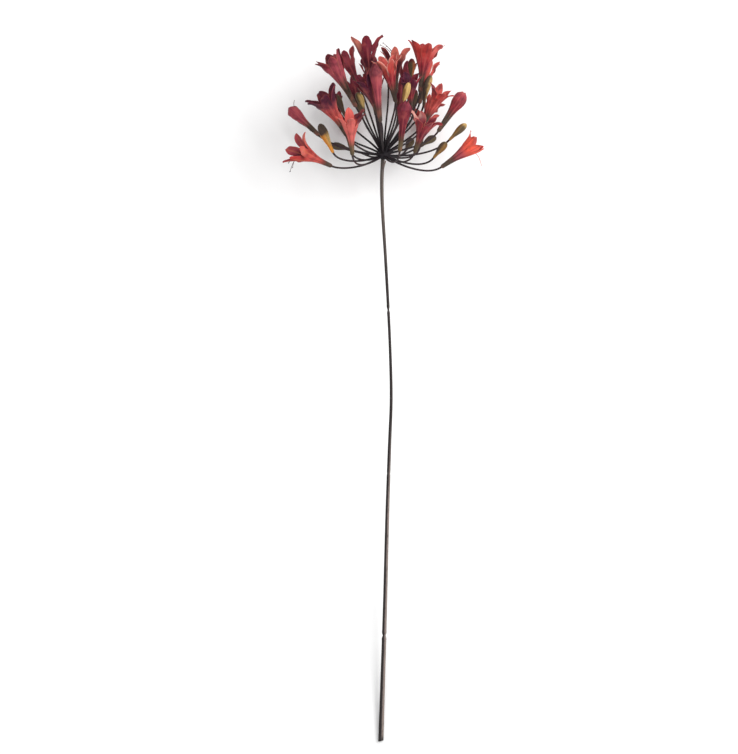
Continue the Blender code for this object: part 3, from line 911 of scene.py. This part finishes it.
# %% Coats of each floret
# Each floret: tube, body, lobe, second colour, inside, tip, rim (partly a painted highlight)
# and midline; then where the second colour gathers (right, up, front), how much of the
# length is tube, and, where it isn't 0.3, how strong the rim and the tip are
COATS = (
    ("umber, coral, red, salmon, rose, red, coral, tan", (1, 0.3, 0.3), 0.22, 0.4, 0.4),
    ("umber, rose, flame, flame, coral, coral, salmon, crimson", (0.7, 0.7, 0), 0.34),
    ("umber, rose, rose, wine, wine, rose, coral, wine", (1, 0, 0), 0.36, 0.3, 0.4),
    ("umber, coral, plum, burgundy, burgundy, plum, rose, plum", (1, -1, 0), 0.30, 0.4, 0.4),
    ("olive, peach, peach, plum, coral, salmon, salmon, crimson", (1, -0.2, 0), 0.24, 0.2),
    ("umber, rose, rose, crimson, wine, burgundy, salmon, wine", (-1, 0, 0), 0.46, 0.4, 0.6),
    ("umber, wine, rose, crimson, crimson, wine, salmon, wine", (1, 0, 0), 0.30, 0.3, 0.4),
    ("umber, burgundy, wine, shell, wine, crimson, rose, plum", (-1, 0.3, 0), 0.26),
    ("umber, mauve, plum, wine, wine, plum, rose, soot", (-1, 0, 0), 0.26),
    ("umber, rose, mauve, wine, wine, wine, salmon, wine", (-1, 0, 0), 0.26, 0.1, 0.4),
    ("umber, crimson, red, salmon, coral, salmon, blush, crimson", (-0.6, 0, 1), 0.30, 0.8),
    ("umber, burgundy, burgundy, salmon, coral, salmon, coral, crimson", (0.6, -0.4, 1), 0.30, 0.2, 0.2),
    ("umber, crimson, red, peach, red, crimson, salmon, wine", (1, 0, 0), 0.34, 0.3, 0.4),
    ("umber, crimson, coral, red, coral, coral, blush, crimson", (1, 0.2, 0), 0.36, 0.7),
    ("umber, crimson, plum, crimson, plum, plum, rose, soot", (1, 0, 0), 0.28),
    ("umber, coral, red, plum, coral, coral, salmon, wine", (-1, 0.3, 0), 0.24, 0.5, 0.5),
    ("olive, wine, crimson, blush, wine, coral, salmon, plum", (-0.6, 0.8, 0), 0.24, 0.4),
    ("olive, wine, wine, rose, plum, rose, rose, plum", (1, 0, 0), 0.26, 0.1),
    # Floret 19's inside is soot: painted shade in the dark slot between its shut lobes.
    ("umber, crimson, rose, coral, soot, coral, salmon, burgundy", (-1, 0.5, 0.3), 0.46),
    ("umber, mauve, rose, wine, crimson, plum, salmon, plum", (1, 0, 0), 0.28),
    ("olive, wine, crimson, burgundy, red, plum, coral, plum", (0, 0, 1), 0.28),
    ("olive, wine, coral, crimson, red, salmon, salmon, crimson", (0, 0, 1), 0.28),
    ("umber, burgundy, wine, plum, crimson, plum, mauve, soot", (-1, 0, 0), 0.30),
    ("umber, crimson, coral, crimson, red, salmon, blush, crimson", (1, 0, 0), 0.28, 0.9),
    ("olive, burgundy, wine, mauve, crimson, plum, rose, plum", (0, 0, -1), 0.3),
    ("umber, wine, crimson, coral, red, burgundy, salmon, plum", (0, 0, -1), 0.28),
    ("olive, wine, rose, crimson, crimson, plum, blush, wine", (1, 0, -1), 0.30),
    ("umber, burgundy, wine, crimson, coral, plum, mauve, plum", (-1, 0, -1), 0.3),
)
print("coats for", len(COATS), "florets")

# %% [markdown]
# ## Making the florets
# Each petal is its own sheet. The sheets meet exactly along the tube, where welding joins
# them, and stay apart as lobes. Extra rings close the tube round its pedicel. The sheet
# then gets a thin wall on its inner side, and the new points are marked as inside.

# %% Petals
COLUMNS = 14
TUBE_ROWS = 13
LOBE_ROWS = 20
TIP_CROWDING = 1.5
WALL = 0.35 * MM
NECK_ROWS = 4
NECK_LENGTH = 2.6 * MM
NECK_RADIUS = 1.0 * MM
NECK_ROUND = 1.7
NECK_ALONG = 0.05
FACING_AT = 0.9
SHADE_FROM = 0.15
SHADE_OVER = 0.45
TUBE_SHADE = 0.1
MARKS = ("along", "across", "shade", "inwards")


def petal_rows(floret):
    """Places along a petal: even on the tube, closer and closer towards the tip."""
    rows = [-(NECK_ROWS - row) / NECK_ROWS for row in range(NECK_ROWS)]
    rows += [floret.split * row / TUBE_ROWS for row in range(TUBE_ROWS)]
    for row in range(LOBE_ROWS + 1):
        part = 1 - (1 - row / LOBE_ROWS) ** TIP_CROWDING
        rows.append(floret.split + (1 - floret.split) * part)
    return rows


def neck_point(floret, petal, across, down):
    """A spot on the rounded base of the tube, down from 0 to 1, and its arrow inwards."""
    turn = across * HALF_SECTOR
    spoke = floret.spoke(petal)
    out = spoke * math.cos(turn) + floret.axis.cross(spoke) * math.sin(turn)
    radius = TUBE_RADIUS + (NECK_RADIUS - TUBE_RADIUS) * down**NECK_ROUND
    return floret.base - floret.axis * (NECK_LENGTH * down) + out * radius, -out


def make_petals(floret, finish, gathers):
    rows = petal_rows(floret)
    bm = new_mesh("along", "across", "shade", "inside", arrows=True)
    gathers = Vector(gathers).normalized()
    for petal in range(PETALS):
        steps = floret.profiles[petal]
        outward = (floret.spot(petal, FACING_AT, 0, steps)[0] - floret.mouth).normalized()

        def place(column, row):
            across = 2 * column / COLUMNS - 1
            s = rows[row]
            free = smooth((s - floret.split + SHADE_FROM) / SHADE_OVER)
            shade = 0.5 + 0.5 * outward.dot(gathers) * free - TUBE_SHADE * (1 - free)
            if s < 0:
                point, arrow = neck_point(floret, petal, across, -s)
                return point, s * NECK_ALONG, abs(across), shade, arrow
            point, arrow = floret.shaped(petal, s, across)
            return lay_on_floor(point), s, abs(across), shade, arrow

        add_sheet(bm, COLUMNS, len(rows) - 1, place, MARKS)
    weld(bm)
    inner = give_wall(bm, WALL)
    inside = bm.verts.layers.float["inside"]
    for vert in inner:
        vert[inside] = 1.0
    name = f"petals_{floret.number:02d}"
    return add_piece(name, bm, finish, floret.slot, f"floret_{floret.number:02d}")


triangles = 0
for floret, (coats, gathers, *shares) in zip(florets, COATS):
    name = f"petal coat {floret.number:02d}"
    finish = petal_finish(name, coats, floret.split, *shares)
    piece = make_petals(floret, finish, gathers)
    triangles += sum(len(face.vertices) - 2 for face in piece.data.polygons)
print("petals:", len(florets) * PETALS, "triangles:", triangles)

# %% [markdown]
# ## The buds
# A bud is a closed floret: six petals folded into a club that is thickest past its middle
# and ends in a blunt point. It could be a lathe shape alone, but the six folded petals
# show as ridges that twist a little round the bud, so the radius also changes with the
# angle, and the line of the bud bends upwards to the light.

# %% Finish of a bud
BUD_MARKS = ("along", "shade", "seam")
BUD_CLOUD_SCALE = 140.0


def bud_finish(name, coats, tip_from):
    """coats: skin, the paler side, partly painted light, base and tip."""
    skin, light, base, tip = pick(coats)
    finish = Finish(name)
    along, shade, seam = map(finish.read, BUD_MARKS)
    where = finish.place()
    cloud = finish.cloud(where, BUD_CLOUD_SCALE)
    speck = finish.cloud(where, SPECK_SCALE)
    drift = along + (cloud - 0.5) * 0.3
    # Partly painted light: one side is painted paler, partly the bud's own colour and partly where light
    # falls on it.
    colour = finish.mix(skin, light, (shade + (cloud - 0.5) * 0.5).rises(0.50, 0.95))
    colour = finish.mix(base, colour, drift.rises(0.04, 0.34))
    colour = finish.mix(colour, tip, drift.rises(tip_from, tip_from + 0.24))
    dark_tone_and_shade = finish.mix(colour, PIGMENTS["soot"], SOOT_TONE_AND_SHADE)
    # Painted shade in the grooves where the folded petals meet, and random dark specks.
    colour = finish.layers(
        colour,
        (dark_tone_and_shade, seam * 0.75),
        (dark_tone_and_shade, speck.rises(0.50, 0.72) * 0.35),
    )
    finish.let_light_in(0.08, (1.0, 0.5, 0.2))
    rough = 0.5 + speck * 0.25
    return finish.skin(colour, rough, speck * 0.5 + cloud, 0.4, GRAIN_DEPTH, PETAL_GLOSS)


print("bud finish reads", BUD_MARKS)

# %% Buds
BUD_PROFILE = ((-0.06, 0.22), (0.0, 0.36), (0.2, 0.46), (0.42, 0.76))
BUD_PROFILE += ((0.66, 1.0), (0.86, 0.84), (0.97, 0.42), (1.0, 0.0))
BUD_SIDES = 36
BUD_ROWS = 34
BUD_TIP_CROWDING = 1.5
BUD_GROOVE = 0.09
BUD_GROOVE_WIDTH = 0.30
BUD_TWIST = 0.55
BUD_BEND = 0.05
BUD_LIFT = (-0.4, 1.0)
BUD_SEED = 100

# Each bud: skin, paler side, base, tip; then where the paler side faces and where the
# tip's colour starts. The paler side is partly the bud's own colour and partly painted light
BUD_COATS = (
    ("ochre, straw, ochre, umber", (0.9, -0.4, 0.3), 0.50),
    ("umber, olive, umber, bronze", (-1, 0, 0), 0.80),
    ("umber, olive, umber, mauve", (1, 0, 0), 0.80),
    ("olive, straw, umber, olive", (0.6, 0, 0.6), 0.72),
    ("bronze, straw, umber, straw", (0.8, 0, 0.6), 0.72),
    ("umber, straw, umber, olive", (1, 0, 0.1), 0.80),
    ("umber, olive, umber, umber", (1, 0, 0), 0.72),
    ("umber, olive, umber, umber", (1, 0, 0), 0.72),
    ("olive, bronze, bronze, straw", (0.2, 1, 0.4), 0.74),
    ("umber, bronze, bronze, olive", (0.9, 0, 0.6), 0.80),
    ("olive, tan, umber, wine", (1, 0, 0), 0.72),
    ("umber, olive, umber, wine", (1, 0, 0), 0.72),
    ("umber, olive, umber, burgundy", (-1, 0, 0), 0.72),
    ("olive, mauve, umber, wine", (0, 0, -1), 0.72),
    ("olive, tan, umber, mauve", (0, 0, -1), 0.72),
)


def make_bud(number, bud, finish, pale_and_lit_side):
    pale_and_lit_side = Vector(pale_and_lit_side).normalized()
    side = bud.axis.orthogonal().normalized()
    other = bud.axis.cross(side)
    draw = random.Random(BUD_SEED + number)
    start_turn = draw.uniform(0, math.tau)
    lift = (Vector((0, 1, 0)) - bud.axis * bud.axis.y).normalized()
    lift *= draw.uniform(*BUD_LIFT)
    lowest = BUD_PROFILE[0][0]

    def place(column, row):
        along = 1 - (1 - row / BUD_ROWS) ** BUD_TIP_CROWDING
        along = lowest + (1 - lowest) * along
        turn = math.tau * column / BUD_SIDES
        spoke = side * math.cos(turn) + other * math.sin(turn)
        fold = math.sin(3 * (turn + BUD_TWIST * along) + start_turn)
        seam = math.exp(-((fold / BUD_GROOVE_WIDTH) ** 2)) * smooth(along / 0.25)
        radius = bud.radius * max(read_table(BUD_PROFILE, along), 0.0)
        radius *= 1 - BUD_GROOVE * seam
        bend = lift * (BUD_BEND * bud.length * math.sin(math.pi * max(along, 0.0)))
        point = bud.base + bud.axis * (along * bud.length) + spoke * radius + bend
        return point, along, 0.5 + 0.5 * spoke.dot(pale_and_lit_side), seam

    bm = new_mesh(*BUD_MARKS)
    add_sheet(bm, BUD_SIDES, BUD_ROWS, place, BUD_MARKS)
    close_up(bm)
    return add_piece(f"bud_skin_{number:02d}", bm, finish, bud.slot, f"bud_{number:02d}")


for number, (bud, (coats, pale_and_lit_side, tip_from)) in enumerate(zip(buds, BUD_COATS), 1):
    make_bud(number, bud, bud_finish(f"bud coat {number:02d}", coats, tip_from), pale_and_lit_side)
print("buds made:", len(BUD_COATS))

# %% [markdown]
# ## The hub and the pedicels
# Forty-three pedicels leave a small dark knob. Low ones droop before they lift their
# flower. Each is a tube along a Bezier curve, a little thicker where it is held and where
# it holds. Tubes that only overlap would show hard creases, and joining them by hand is
# slow, so one Boolean union makes the spray a single skin.

# %% Pedicel paths
PEDICEL_DROOP = 0.43
PEDICEL_LOW = 0.7
PEDICEL_START = 2.0 * MM
PEDICEL_PULLS = (0.36, 0.28)
PEDICEL_STRAIGHT = 1.5 * MM
PEDICEL_IN_TUBE = 2.0 * MM
PEDICEL_TO_BUD = 0.3 * MM
PEDICEL_ROWS = 22
PEDICEL_SIDES = 10
PEDICEL_RADII = ((0.0, 1.6), (0.12, 1.25), (0.5, 1.08), (0.85, 1.06), (1.0, 1.2))
PEDICEL_SWAY = 0.5 * MM
SWAY_SEED = 7


def bezier(start, pull_start, pull_end, end, along):
    rest = 1 - along
    return (
        start * rest**3
        + pull_start * (3 * rest * rest * along)
        + pull_end * (3 * rest * along * along)
        + end * along**3
    )


def pedicel_path(base, axis, past_base, sway):
    """A low pedicel droops from the hub before it lifts its flower."""
    away = base.normalized()
    low = 1 - smooth(away.y / PEDICEL_LOW)
    start_way = (away - Vector((0, PEDICEL_DROOP * low, 0))).normalized()
    near_pull, far_pull = PEDICEL_PULLS
    start = start_way * PEDICEL_START
    pull_start = start_way * (base.length * near_pull)
    neck = base - axis * PEDICEL_STRAIGHT
    pull_end = neck - axis * (base.length * far_pull)
    path = []
    for row in range(PEDICEL_ROWS + 1):
        step = row / PEDICEL_ROWS
        path.append(bezier(start, pull_start, pull_end, neck, step))
        path[-1] += sway * math.sin(math.tau * step) * smooth(4 * step * (1 - step))
    return path + [base + axis * past_base]


# %% Finish of the spray
HUB_SPREAD = 60 * MM


def spray_finish():
    finish = Finish("pedicel skin")
    where = finish.place()
    points = {0: where, 1: laid.translation}
    from_hub = finish.node("ShaderNodeVectorMath", {"operation": "DISTANCE"}, points, "Value")
    far = from_hub.rises(4 * MM, HUB_SPREAD)
    cloud = finish.cloud(where, 120.0)
    speck = finish.cloud(where, 700.0, 3.0)
    colour = finish.layers(
        pigment(18, 14, 22),
        (pigment(56, 44, 46), far * 0.7 + cloud * 0.3),
        (pigment(74, 38, 40), (far * cloud).rises(0.42, 0.66) * 0.4),
        # Pale flecks: partly fine speckle and partly painted highlights on the dark pedicels.
        (pigment(104, 92, 88), speck.rises(0.56, 0.70) * far * 0.4),
        (pigment(16, 12, 16), (1 - speck).rises(0.52, 0.66) * 0.6),
    )
    return finish.skin(colour, 0.5 + speck * 0.25, speck, 0.5, 0.3 * MM, 0.25)


print("pedicels to draw:", len(florets) + len(buds))

# %% The spray, joined
HUB_PROFILE = ((-5.2, 2.0), (-4.4, 3.9), (-2.8, 5.2), (-0.5, 6.1))
HUB_PROFILE += ((2.0, 5.7), (4.2, 4.4), (6.0, 0.0))
HUB_SIDES = 30
HUB_ROWS = 18
HUB_KNOBS = 0.10
KNOBS_ROUND = 6
KNOBS_UP = 1.4


def hub_point(column, row):
    """A knobbly round hub: each pedicel's foot leaves a low bulge."""
    lowest, highest = HUB_PROFILE[0][0], HUB_PROFILE[-1][0]
    height = lowest + (highest - lowest) * row / HUB_ROWS
    turn = math.tau * column / HUB_SIDES
    radius = max(read_table(HUB_PROFILE, height), 0.0)
    radius *= 1 + HUB_KNOBS * math.sin(KNOBS_ROUND * turn + height) * math.sin(KNOBS_UP * height)
    return (Vector((radius * math.cos(turn), height, radius * math.sin(turn))) * MM,)


ends = [(floret.base, floret.axis, PEDICEL_IN_TUBE) for floret in florets]
ends += [(bud.base, bud.axis, -PEDICEL_TO_BUD) for bud in buds]
spray_parts = bpy.data.collections.new("pedicels to join")
draw = random.Random(SWAY_SEED)
for base, axis, past_base in ends:
    sway = Vector([draw.uniform(-1, 1) for _ in range(3)]) * PEDICEL_SWAY
    path = pedicel_path(base, axis, past_base, sway)
    radii = [read_table(PEDICEL_RADII, row / PEDICEL_ROWS) * MM for row in range(len(path))]
    bm = new_mesh()
    add_tube(bm, path, radii, PEDICEL_SIDES)
    close_up(bm)
    as_object("pedicel", bm, spray_parts)
scene.collection.children.link(spray_parts)

bm = new_mesh()
add_sheet(bm, HUB_SIDES, HUB_ROWS, hub_point)
close_up(bm)
hub = as_object("hub", bm)
union = hub.modifiers.new("join", "BOOLEAN")
union.operation = "UNION"
union.operand_type = "COLLECTION"
union.collection = spray_parts
union.solver = "EXACT"
graph = bpy.context.evaluated_depsgraph_get()
fused = bpy.data.meshes.new_from_object(hub.evaluated_get(graph))
for helper in [hub, *spray_parts.objects]:
    bpy.data.objects.remove(helper, do_unlink=True)
bpy.data.collections.remove(spray_parts)
bm = bmesh.new()
bm.from_mesh(fused)
spray = add_piece("pedicel_spray", bm, spray_finish(), "pedicel", "pedicels")
print("spray faces:", len(spray.data.polygons))

# %% [markdown]
# ## The stalk
# The bare stalk is called a scape. This one is nearly black on one side and greyer on the
# other, partly its own colour and partly painted shade on the left and painted light on the
# right. It is thin below the head and thicker at its foot, with two pinched joints and a
# faint one between. A tube with many rings can carry all of that: the radius comes from a
# table, each joint takes a bite out of it, and fine ribs run down the length.

# %% Finish of the stalk
STALK_STREAK = (1.0, 0.035, 1.0)


def stalk_finish():
    finish = Finish("stalk skin")
    below, joint, right = map(finish.read, ("below", "joint", "right"))
    where = finish.place()
    turned = {"Vector": where, "Rotation": (-LEAN, 0, 0)}
    level = finish.node("ShaderNodeMapping", {"vector_type": "TEXTURE"}, turned)
    stretched = {"Vector": level, "Scale": STALK_STREAK}
    streak = finish.cloud(finish.node("ShaderNodeMapping", {}, stretched), 900.0, 3.0, 0.6)
    cloud = finish.cloud(where, 26.0, 3.0)
    speck = finish.cloud(where, 1100.0)
    spot = below + (cloud - 0.5) * 0.16
    blotch = (cloud - 0.5) * 0.3
    # Painted light and shade: the side facing right, towards the key lamp, is painted paler (lit), and
    # the left side nearly black, partly the stalk's own dark colour and partly painted shade.
    lit = (right + (streak - 0.5) * 0.5 + blotch).rises(0.54, 0.74)
    paint_and_lit_side = (right + (streak - 0.5) * 0.4 + blotch).rises(0.46, 0.60)
    colour = finish.layers(
        pigment(92, 82, 76),
        (pigment(42, 33, 32), spot.rises(0.10, 0.22)),
        (pigment(92, 82, 78), spot.rises(0.50, 0.66)),
        (pigment(134, 120, 113), lit * below.rises(0.42, 0.62) * 0.9),
        (pigment(24, 17, 19), (1 - paint_and_lit_side) * (0.45 + below.rises(0.12, 0.3) * 0.5)),
        (pigment(32, 24, 25), streak.rises(0.50, 0.72) * 0.7),
        # Painted highlight: the lip of each joint is painted paler on its right side, where the light
        # falls.
        (pigment(124, 112, 108), joint * right.rises(0.4, 0.7) * 0.5),
        (pigment(46, 42, 42), below.rises(0.985, 0.998) * 0.8),
    )
    rough = 0.45 + speck * 0.3
    return finish.skin(colour, rough, streak + speck * 0.3, 0.45, GRAIN_DEPTH, 0.3)


print("streaks run down the stalk, stretched", round(1 / STALK_STREAK[1]), "times")

# %% The stalk
# Below the hub, in mm: how far right the stalk runs, and how thick it is
STALK_ROUTE = ((4.3, -0.8), (30, -1.9), (60, -1.2), (112, 2.0), (166, 5.0), (220, 7.5))
STALK_ROUTE += ((275, 8.7), (329, 6.8), (410, 4.2), (519, 1.4), (627, -1.9), (662, -3.0))
STALK_RADII = ((4.3, 2.15), (60, 1.95), (120, 1.75), (198, 1.6), (300, 1.8))
STALK_RADII += ((390, 2.2), (503, 2.4), (616, 2.8), (662, 3.0))
# Each joint: how far below the hub, and how deep its notch is, as a share of the radius
JOINTS = {175: 0.36, 360: 0.10, 543: 0.32}
JOINT_WIDTH = 1.7
LIP = 0.2
LIP_PLACE = 4.2
LIP_WIDTH = 1.5
RIBS = 7
RIB_HEIGHT = 0.035
STALK_SIDES = 28
STALK_ROW = 3.0
JOINT_ROW = 0.5
JOINT_REACH = 8.0
CUT_SLANT = 0.25
CUT_REACH = 6.0 * MM
RIB_DRIFT = 40
RIB_TURN = 9
# The cut end: two rings inwards, (how far in, how deep)
CUT_RINGS = ((0.55 * MM, 0), (0.15 * MM, -0.35 * MM))


def at_joint(below, place, width):
    """The depth of the nearest joint, falling to 0 within about two widths of it."""
    reached = []
    for joint, depth in JOINTS.items():
        reached.append(depth * math.exp(-(((abs(below - joint) - place) / width) ** 2)))
    return max(reached)


def stalk_rows():
    """Depths of the rings in mm: close together at each joint and at the cut."""
    first, last = STALK_ROUTE[0][0], STALK_ROUTE[-1][0]
    count = round((last - first) / STALK_ROW)
    rows = [first + (last - first) * row / count for row in range(count + 1)]
    rows = [row for row in rows if all(abs(row - joint) > JOINT_REACH for joint in JOINTS)]
    steps = round(JOINT_REACH / JOINT_ROW)
    for joint in JOINTS:
        rows += [joint + step * JOINT_ROW for step in range(-steps, steps + 1)]
    return sorted(rows)


def make_stalk():
    rows = stalk_rows()
    path = [Vector((read_table(STALK_ROUTE, below), -below, 0)) * MM for below in rows]
    radii = []
    values = []
    for below in rows:
        radius = read_table(STALK_RADII, below)
        radius *= 1 + LIP * at_joint(below, LIP_PLACE, LIP_WIDTH)
        radius *= 1 - at_joint(below, 0, JOINT_WIDTH)
        radii.append(radius * MM)
        values.append((below / rows[-1], at_joint(below, 0, 3 * JOINT_WIDTH)))
    marks = ("below", "joint")
    bm = new_mesh(*marks, "right")
    facing_right = bm.verts.layers.float["right"]
    made = add_tube(bm, path, radii, STALK_SIDES, marks, values)
    end = path[-1]
    for vert in made:
        middle = Vector((read_table(STALK_ROUTE, -vert.co.y / MM) * MM, vert.co.y, 0))
        turn = math.atan2(vert.co.z, vert.co.x - middle.x)
        vert[facing_right] = 0.5 + 0.5 * math.cos(turn)
        drift = noise.noise(Vector((math.cos(turn), math.sin(turn), vert.co.y * RIB_DRIFT)))
        swell = 1 + RIB_HEIGHT * math.sin(RIBS * turn + vert.co.y * RIB_TURN) * (0.6 + drift)
        held = smooth((vert.co.y - end.y) / (4 * CUT_REACH))
        vert.co = middle + (vert.co - middle) * (1 + (swell - 1) * held)
        near_end = 1 - smooth((vert.co.y - end.y) / CUT_REACH)
        vert.co.y += (vert.co.x - end.x) * CUT_SLANT * near_end
    weld(bm)
    rim = [edge for edge in bm.edges if edge.is_boundary]
    faces = bmesh.ops.holes_fill(bm, edges=rim, sides=0)["faces"]
    bmesh.ops.recalc_face_normals(bm, faces=bm.faces)
    cut = min(faces, key=lambda face: face.calc_center_median().y)
    for inwards, deep in CUT_RINGS:
        bmesh.ops.inset_region(bm, faces=[cut], thickness=inwards, depth=deep)
    return add_piece("stalk", bm, stalk_finish(), "scape", "scape")


stalk = make_stalk()
print("stalk faces:", len(stalk.data.polygons))

# %% [markdown]
# ## The torn collar
# Before it opens, the whole head sits in a papery sheath. When it splits, scraps of it
# stay on the stalk under the hub. One scrap shows at the right. It is a small sheet bent
# round the stalk, with a ragged edge from a noise function and a thin wall.

# %% Collar
COLLAR_TOP = 5.5
COLLAR_BOTTOM = 15.5
COLLAR_TURNS = (-75, 95)
COLLAR_OUT = (0.15, 1.5)
COLLAR_COLUMNS = 44
COLLAR_ROWS = 16
COLLAR_WALL = 0.22 * MM
TEARS = 11
TEAR_DEPTH = 0.5
UNTORN = 0.72
FRILLS = 34
FRILL = 0.6


def collar_point(column, row):
    """Round the stalk from the front to the right, standing off more at its torn top."""
    share = column / COLLAR_COLUMNS
    first, last = COLLAR_TURNS
    turn = math.radians(first + (last - first) * share)
    ragged = noise.noise(Vector((share * TEARS, 0.3, 1.7)))
    high = (row / COLLAR_ROWS) * (UNTORN + TEAR_DEPTH * ragged) * math.sin(math.pi * share) ** 0.35
    below = COLLAR_BOTTOM + (COLLAR_TOP - COLLAR_BOTTOM) * high
    near, far = COLLAR_OUT
    frill = FRILL * math.sin(share * FRILLS) * high
    out = read_table(STALK_RADII, below) + near + (far - near) * high**1.5 + frill
    right = read_table(STALK_ROUTE, below)
    outwards = Vector((math.cos(turn), 0, math.sin(turn)))
    return (Vector((right, -below, 0)) + outwards * out) * MM, high, -outwards


def paper_finish():
    finish = Finish("papery collar")
    grain = finish.cloud(finish.place(), 1400.0, 3.0)
    colour = finish.layers(
        pigment(64, 52, 50),
        (pigment(128, 110, 100), finish.read("high")),
        (pigment(60, 48, 46), grain.rises(0.5, 0.7) * 0.5),
    )
    return finish.skin(colour, 0.6 + grain * 0.25, grain, 0.5, 0.2 * MM)


bm = new_mesh("high", arrows=True)
add_sheet(bm, COLLAR_COLUMNS, COLLAR_ROWS, collar_point, ("high", "inwards"))
weld(bm)
give_wall(bm, COLLAR_WALL)
collar = add_piece("collar_rest", bm, paper_finish(), "pedicel")
print("collar faces:", len(collar.data.polygons))

# %% [markdown]
# ## Stamens and styles
# Six stamens and one style come up the tube of every open floret. Most end just inside
# its mouth; on four florets a few reach further and show in the picture, one of them out
# of a floret that is still shut. Filaments are thin tubes on a curve and anthers are
# small ellipsoids, which is all one sees here.

# %% Stamens
STAMEN_ROWS = 14
STAMEN_SIDES = 6
FILAMENT_RADII = (0.42 * MM, 0.26 * MM)
STAMEN_START = 0.30
STAMEN_REACH = 0.72
STAMEN_FAN = 2.6 * MM
STAMEN_SAG = 2.0 * MM
ANTHER = (0.45 * MM, 0.45 * MM, 1.1 * MM)
STAMEN_SEED = 200
FAN_CHANGE = (0.7, 1.5)
SAG_CHANGE = (0.4, 1.6)
REACH_CHANGE = (-0.05, 0.07)
SHOWN_BEND = 0.9

# Where the longest threads end on the florets that show them (mm from the hub)
SHOWN_THREADS = {
    1: ((-104.5, -21.5, 50), (-102.0, -17.0, 46), (-106.0, -12.0, 52)),
    2: ((110.5, -13.0, 10),),
    3: ((-101.0, 63.5, -18),),
    12: ((-3.5, 125.0, -8), (-0.5, 127.5, -10), (3.5, 124.0, -12)),
}
DARK_THREADS = (1, 3, 12)


def stamen_finish(name, thread):
    finish = Finish(name)
    anther = finish.read("anther")
    grain = finish.cloud(finish.place(), 1600.0)
    colour = finish.layers(
        PIGMENTS[thread],
        (PIGMENTS["soot"], anther.rises(0.3, 0.6)),
        (PIGMENTS["umber"], grain.rises(0.45, 0.7) * 0.4),
    )
    return finish.skin(colour, 0.5 + anther * 0.3, grain, 0.4, 0.15 * MM)


def add_thread(bm, start, bend, end, anther):
    near, far = FILAMENT_RADII
    path = []
    sizes = []
    for row in range(STAMEN_ROWS + 1):
        step = row / STAMEN_ROWS
        path.append(bezier(start, bend, bend.lerp(end, 0.45), end, step))
        sizes.append(near + (far - near) * step)
    add_tube(bm, path, sizes, STAMEN_SIDES, ("anther",), [(0.0,)] * len(path))
    if anther:
        ahead = (path[-1] - path[-3]).normalized()
        lie = ahead.orthogonal().normalized().lerp(ahead, 0.35)
        turn = lie.to_track_quat("Z", "Y").to_matrix().to_4x4()
        size = Matrix.Diagonal((*ANTHER, 1))
        matrix = Matrix.Translation(end) @ turn @ size
        made = bmesh.ops.create_icosphere(bm, subdivisions=2, radius=1, matrix=matrix)
        layer = bm.verts.layers.float["anther"]
        for vert in made["verts"]:
            vert[layer] = 1.0


def make_stamens(floret, finish):
    """Threads that end near the mouth, and those that the picture shows further out."""
    draw = random.Random(STAMEN_SEED + floret.number)
    steps = floret.opened(floret.flare)
    tube_radius, tube_height = read_profile(steps, STAMEN_START)
    aim = floret.base + floret.axis * (steps[-1][1] * floret.length * STAMEN_REACH)
    sag = Vector((0, -STAMEN_SAG, 0))
    shown = [mm(end) for end in SHOWN_THREADS.get(floret.number, ())]
    bm = new_mesh("anther")
    for petal in range(0 if floret.shut else PETALS):
        spoke = floret.spoke(petal)
        start = floret.base + floret.axis * (tube_height * floret.length)
        start += spoke * (TUBE_RADIUS + tube_radius * floret.length - 1.0 * MM)
        fan = spoke * STAMEN_FAN * draw.uniform(*FAN_CHANGE)
        end = aim + fan + sag * draw.uniform(*SAG_CHANGE)
        end += floret.axis * draw.uniform(*REACH_CHANGE) * floret.length
        bend = start.lerp(floret.mouth, 0.5) + fan * 0.6
        if len(shown) > 1 and petal < len(shown):
            end = shown[petal]
            bend = start.lerp(floret.mouth, SHOWN_BEND)
        add_thread(bm, start, bend, end, True)
    start = floret.base + floret.axis * (0.1 * floret.length)
    end = shown[0] if len(shown) == 1 else aim.lerp(floret.mouth, 0.5) + sag
    add_thread(bm, start, start.lerp(floret.mouth, SHOWN_BEND), end, False)
    close_up(bm)
    return add_piece(f"stamens_{floret.number:02d}", bm, finish, floret.slot)


pale_threads = stamen_finish("pale filaments", "salmon")
dark_threads = stamen_finish("dark filaments", "burgundy")
stamen_pieces = []
for floret in florets:
    if floret.shut and floret.number not in SHOWN_THREADS:
        continue
    dark = floret.number in DARK_THREADS
    stamen_pieces.append(make_stamens(floret, dark_threads if dark else pale_threads))
print("florets with stamens:", len(stamen_pieces))
